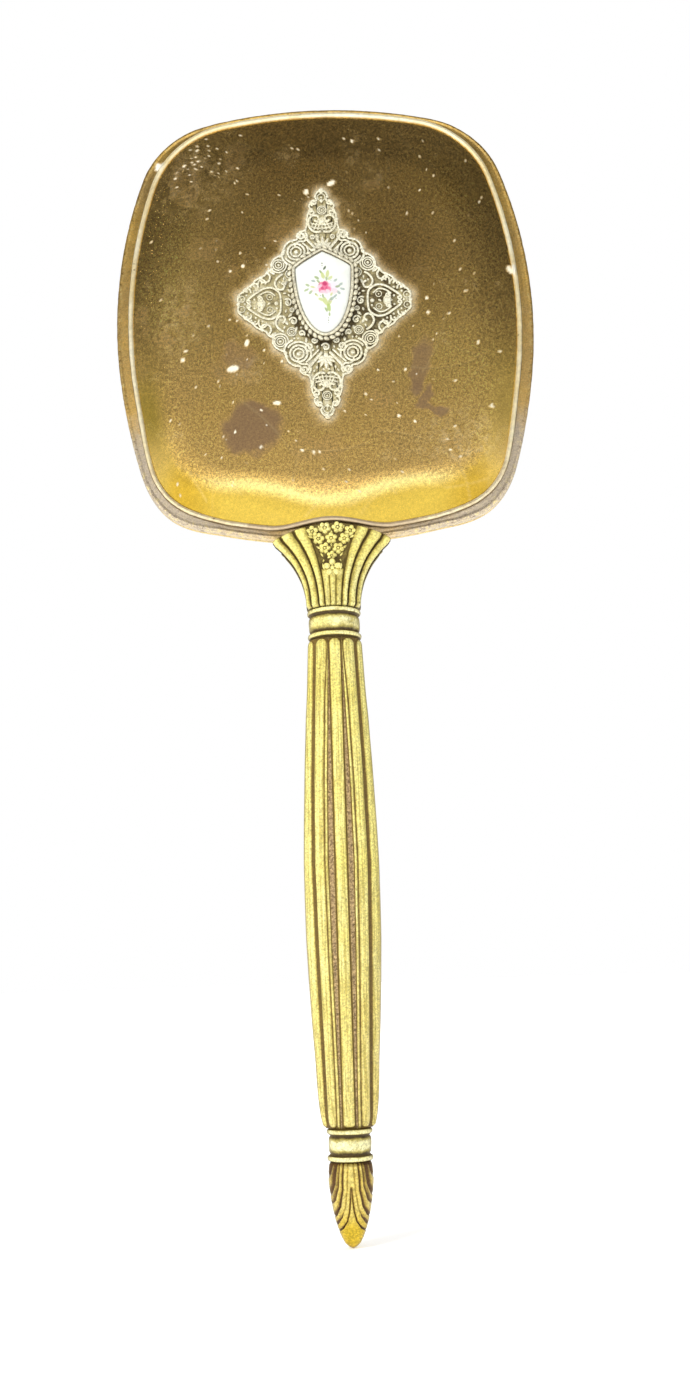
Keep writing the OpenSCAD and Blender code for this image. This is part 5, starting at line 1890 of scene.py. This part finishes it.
# strokes: x to the right as seen from the back, z, half-width, half-height, turn, colour,
# strength
FIRST_STROKES = [
    (-0.2, 8.8, 0.22, 0.22, 0, DARK_GREEN, 0.8), (-0.2, 8.0, 0.18, 0.18, 0, DARK_GREEN, 0.8),
    (0.9, -9.6, 0.22, 0.22, 0, DARK_GREEN, 0.8), (0.9, -8.9, 0.18, 0.18, 0, DARK_GREEN, 0.8),
    (0.9, -10.3, 0.14, 0.14, 0, DARK_GREEN, 0.8),
    (0.5, 7.2, 0.32, 0.75, -0.5, DARK_GREEN, 0.95), (-0.7, 5.9, 0.36, 0.85, 0.6, GREEN, 0.9),
    (1.3, 5.2, 0.5, 1.2, -0.2, LIME, 0.9), (-0.1, 4.6, 0.55, 1.1, 0.35, LIME, 0.9),
    (-2.0, 4.1, 0.45, 0.95, 0.9, GREEN, 0.85), (2.1, 3.9, 0.5, 0.9, -0.9, LIME, 0.8),
    (-3.1, 3.1, 0.4, 0.75, 1.1, GREY_GREEN, 0.8), (3.6, 3.0, 0.4, 0.7, -1.0, GREY_GREEN, 0.75),
    (-4.9, 1.9, 0.40, 0.80, 1.0, GREEN, 0.75), (-5.3, 0.4, 0.40, 0.80, 1.9, GREEN, 0.75),
    (-4.0, -0.4, 0.40, 0.80, 2.3, GREEN, 0.75), (5.1, 1.7, 0.40, 0.80, -1.0, GREY_GREEN, 0.75),
    (5.6, 0.2, 0.40, 0.80, -1.9, GREY_GREEN, 0.75),
    (4.4, -0.9, 0.40, 0.80, -2.3, GREY_GREEN, 0.75),
    (0.3, -3.6, 0.7, 1.35, 0.35, LIME, 0.9), (1.6, -3.8, 0.6, 1.3, -0.45, LIME, 0.9),
    (-1.0, -3.0, 0.5, 1.0, 0.9, LIME, 0.85), (1.2, -5.6, 0.6, 1.3, 0.1, (0.38, 0.48, 0.14), 0.9),
    (0.4, -6.3, 0.35, 0.8, 0.5, GREEN, 0.85), (2.3, -2.9, 0.45, 0.9, -0.9, GREY_GREEN, 0.75),
    (1.3, -7.7, 0.28, 0.6, 0.0, GREEN, 0.85), (3.0, 1.1, 1.5, 1.5, 0, LILAC, 0.65),
    (2.7, -0.5, 1.2, 1.1, 0, BLUSH, 0.55), (-2.7, 0.2, 0.9, 1.0, 0, BLUSH, 0.5)]
# angle and colour of the petals round the bloom
PETALS = [(0.3, BLUSH), (1.2, PINK), (2.2, PINK), (3.1, BLUSH), (4.0, PINK), (5.0, BLUSH),
          (5.7, PINK)]
HEART_STROKES = [
    (0.1, 0.9, 1.15, 1.1, 0, PINK, 0.95), (0.35, 2.0, 0.75, 0.65, 0, CRIMSON, 0.9),
    (-0.5, 0.6, 0.42, 0.7, 0.6, CRIMSON, 0.6), (0.7, 0.4, 0.3, 0.6, -0.4, CRIMSON, 0.45)]
SMALL_LEAVES = [(x, z, 0.34, 0.72, turn, colour, 0.8) for x, z, turn, colour in (
    (-2.3, -1.5, 0.7, LIME), (3.4, -2.0, -0.7, GREY_GREEN), (-1.6, 2.9, 0.7, GREEN),
    (0.9, 3.6, 0.1, GREEN), (-3.4, 1.2, 1.3, LIME), (-0.4, -1.9, 0.2, GREEN),
    (4.2, 1.0, -1.3, GREEN), (2.2, -1.5, -0.6, LIME))]
LIGHT_PETALS = [
    (-0.6, -0.5, 0.75, 0.45, 0.4, BLUSH, 0.85),
    (1.1, -0.3, 0.65, 0.45, -0.5, (0.90, 0.62, 0.68), 0.85),
    (-0.9, 1.3, 0.5, 0.38, 0.9, BLUSH, 0.8)]
THIN, FULL, THICK = 0.03, 0.04, 0.05          # height of the paint


def enamel_strokes():
    """All strokes in painting order, each with its height."""
    strokes = [(*stroke, THIN) for stroke in FIRST_STROKES]
    for angle, colour in PETALS:
        strokes.append((0.2 + 1.15 * math.cos(angle), 0.9 + 1.15 * math.sin(angle), 1.05, 0.95,
                        angle, colour, 0.9, FULL))
    strokes += [(*stroke, THICK) for stroke in HEART_STROKES]
    strokes += [(*stroke, THIN) for stroke in SMALL_LEAVES]
    strokes += [(*stroke, THICK) for stroke in LIGHT_PETALS]
    for k in range(16):
        angle, reach = rng.uniform(0, 2 * math.pi), rng.uniform(1.6, 4.4)
        strokes.append((0.6 + reach * 1.15 * math.cos(angle), 0.3 + reach * math.sin(angle),
                        0.17, 0.17, 0, (LILAC, GREY_GREEN, DARK_GREEN, BLUSH)[k % 4], 0.7,
                        THIN))
    return strokes


def enamel_paint(x, z):
    """Colour and height of the painting at each point."""
    colour = GROUND_WHITE * (1 - 0.08 * noise(x / 3, z / 3, 90, 3))[:, None]
    height = np.zeros(len(x))
    for mid_x, mid_z, half_w, half_h, turn, tone, strength, thick in enamel_strokes():
        ragged = (noise(x * 1.7 + mid_x, z * 1.7 + mid_z, 91, 2) - 0.5) * 0.5
        cos, sin = math.cos(turn), math.sin(turn)
        across = (x - mid_x) * cos + (z - mid_z) * sin
        along = -(x - mid_x) * sin + (z - mid_z) * cos
        reach = np.sqrt((across / half_w) ** 2 + (along / half_h) ** 2) + ragged
        mask = 1 - ease(0.78, 1.22, reach)
        cover = np.clip(mask * strength, 0, 1)[:, None]
        colour = colour * (1 - cover) + np.array(tone) * cover
        height = np.maximum(height, mask * thick)
    return colour, height


def enamel_shield():
    """Domed shield of fine rings from the outline to the centre, painted point by point."""
    rings, count = 90, SHIELD_COUNT
    low, high = shield_lo[1], shield_hi[1]
    outline = turned(SHIELD * 0.995)
    centre = np.array([0.0, 0.6])
    flat, points = [], []
    for size in np.linspace(1, 0.0, rings + 1)[:-1]:
        ring = centre + (outline - centre) * size
        y = low + 0.35 + (high - low - 0.38) * (1 - size ** 2.6) ** 0.62
        flat.append(ring)
        points.append(np.c_[ring[:, 0], np.full(count, y), ring[:, 1] + SHIELD_Z])
    flat.append(centre[None])
    points.append([[centre[0], high - 0.03, centre[1] + SHIELD_Z]])
    points = np.concatenate(points)
    x, z = turned(np.concatenate(flat), -SHIELD_TILT).T
    colour, height = enamel_paint(-x, z)
    points[:, 1] = np.minimum(points[:, 1] + height, high)
    back = np.c_[outline[:, 0], np.full(count, low + 0.02), outline[:, 1] + SHIELD_Z]
    start = len(points)
    last = (rings - 1) * count
    faces = grid_faces(rings, count, False, True)
    faces += [(last + (i + 1) % count, start - 1, last + i) for i in range(count)]
    faces += [(i, (i + 1) % count, start + (i + 1) % count, start + i) for i in range(count)]
    faces.append(tuple(start + i for i in range(count)))
    add_piece("shield_enamel", np.concatenate([points, back]), flipped(faces), ENAMEL,
              "enamel", "shield_cabochon",
              paint=np.concatenate([colour, np.tile([0.9, 0.9, 0.87], (count, 1))]))


enamel_shield()

# make every new piece's faces point outward
for piece in [o for o in bpy.context.scene.objects
              if o.type == "MESH" and "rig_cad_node" not in o]:
    work = bmesh.new()
    work.from_mesh(piece.data)
    bmesh.ops.recalc_face_normals(work, faces=work.faces)
    work.to_mesh(piece.data)
    work.free()
    piece.data.update()


# ------------------------------------------------------------------ stage
def floor_material():
    """Pale floor that glows a little more away from the middle."""
    t = material_nodes("pale_floor")
    co = t.coord()
    colour = t.ramp(t.noise(co, scale=30, detail=3, rough=0.5), (0.3, (0.90, 0.90, 0.895)),
                    (0.7, (0.92, 0.92, 0.915)), linear=True)
    distance = t.node("ShaderNodeVectorMath", operation="LENGTH", Vector=co).outputs["Value"]
    far = t.rise(t.mul(distance, 0.5), 0.05, 0.45)
    return t.surface(colour, 0.0, 0.85, Specular_IOR_Level=0.1, Emission_Color=(1, 1, 1, 1),
                     Emission_Strength=t.add(t.mul(far, 0.30), 0.20))


def floor_disc():
    radius, count = 9, 96                       # metres
    points = [(0, 0, 0)]
    for i in range(count):
        angle = 2 * math.pi * i / count
        points.append((radius * math.cos(angle), radius * math.sin(angle), 0))
    mesh = bpy.data.meshes.new("floor")
    mesh.from_pydata(points, [], [(0, 1 + i, 1 + (i + 1) % count) for i in range(count)])
    disc = bpy.data.objects.new("floor", mesh)
    bpy.context.scene.collection.objects.link(disc)
    mesh.materials.append(floor_material())


floor_disc()


def studio_world():
    """White to the camera, even for soft light; reflections see bright low and dark high."""
    world = bpy.data.worlds.new("studio")
    bpy.context.scene.world = world
    t = Nodes(world, "ShaderNodeOutputWorld")
    ray = t.node("ShaderNodeLightPath").outputs
    direction = t.axes(t.coord("Generated"))

    def unit(value):
        """From -1..1 to 0..1."""
        return t.add(t.mul(value, 0.5), 0.5)

    elevation = unit(direction["Z"])
    back = t.ramp(elevation, (0.0, 0.50), (0.30, 0.66), (0.43, 0.72), (0.482, 0.82),
                  (0.517, 0.98), (0.545, 1.0), (0.57, 0.84), (0.595, 0.60), (0.621, 0.47),
                  (0.646, 0.43), (0.668, 0.30), (0.687, 0.045), (0.72, 0.015), (0.80, 0.015),
                  (0.86, 0.05), (0.93, 0.055), (1.0, 0.05), linear=True)
    front = t.ramp(elevation, (0.0, 0.48), (0.49, 0.50), (0.53, 0.40), (0.62, 0.32),
                   (0.80, 0.22), (1.0, 0.30), linear=True)
    room = t.mix(t.rise(unit(direction["Y"]), 0.35, 0.6), front, back)
    # darker to both sides, and a little darker towards -X
    sides = t.ramp(t.math("ABSOLUTE", direction["X"]), (0.0, 1.0), (0.28, 1.0), (0.50, 0.80),
                   (0.80, 0.48), (0.97, 0.22), (1.0, 0.20), linear=True)
    lean = t.ramp(unit(direction["X"]), (0.0, 0.78), (0.45, 0.80), (0.62, 1.0), (1.0, 1.0),
                  linear=True)

    def background(colour, strength):
        return t.node("ShaderNodeBackground", Color=colour, Strength=strength).outputs[0]

    def choose(factor, off, on):
        node = t.node("ShaderNodeMixShader")
        for socket, value in zip(node.inputs, (factor, off, on)):
            t.put(socket, value)
        return node.outputs[0]

    reflected = background(t.tint(t.tint(room, sides), lean), strength=2.05)
    soft = background((1.0, 0.995, 0.985, 1), strength=0.74)
    white = background((1, 1, 1, 1), strength=1.0)
    unseen = choose(ray["Is Glossy Ray"], soft, reflected)
    t.put(t.output.inputs[0], choose(ray["Is Camera Ray"], unseen, white))


studio_world()


def area_light(name, location, size, power, color=(1, 1, 1)):
    """Square light aimed at the handle's upper part, unseen in reflections."""
    light = bpy.data.lights.new(name, "AREA")
    light.shape = "RECTANGLE"
    light.size = light.size_y = size
    light.energy = power
    light.color = color
    lamp = bpy.data.objects.new(name, light)
    bpy.context.scene.collection.objects.link(lamp)
    lamp.location = location
    toward = Vector((0, 0, 0.18)) - Vector(location)
    lamp.rotation_mode = "QUATERNION"
    lamp.rotation_quaternion = toward.to_track_quat("-Z", "Y")
    lamp.visible_glossy = False


area_light("soft_key", location=(1.0, 1.3, 1.5), size=0.6, power=30, color=(1, 0.985, 0.96))
area_light("soft_front", location=(-1.2, -1.5, 1.2), size=0.9, power=18)


def camera():
    """Behind the mirror, looking along -Y and up, with a slight roll."""
    data = bpy.data.cameras.new("camera")
    view = bpy.data.objects.new("camera", data)
    bpy.context.scene.collection.objects.link(view)
    data.sensor_width = 36
    data.lens = 39.1483871
    data.clip_start = 0.01
    data.clip_end = 40
    tilt, roll = math.radians(10.2), math.radians(1.8)
    forward = Vector((0, -math.cos(tilt), math.sin(tilt)))
    right = Vector((-1, 0, 0))
    up = Vector((0, math.sin(tilt), math.cos(tilt)))
    columns = (right * math.cos(roll) - up * math.sin(roll),
               right * math.sin(roll) + up * math.cos(roll),
               -forward, Vector((-0.0025, 0.4385, 0.0753)))
    view.matrix_world = Matrix([[column[i] for column in columns] for i in range(3)]
                               + [[0, 0, 0, 1]])
    bpy.context.scene.camera = view


camera()
bpy.context.scene.view_settings.view_transform = "Standard"
bpy.context.scene.view_settings.look = "None"
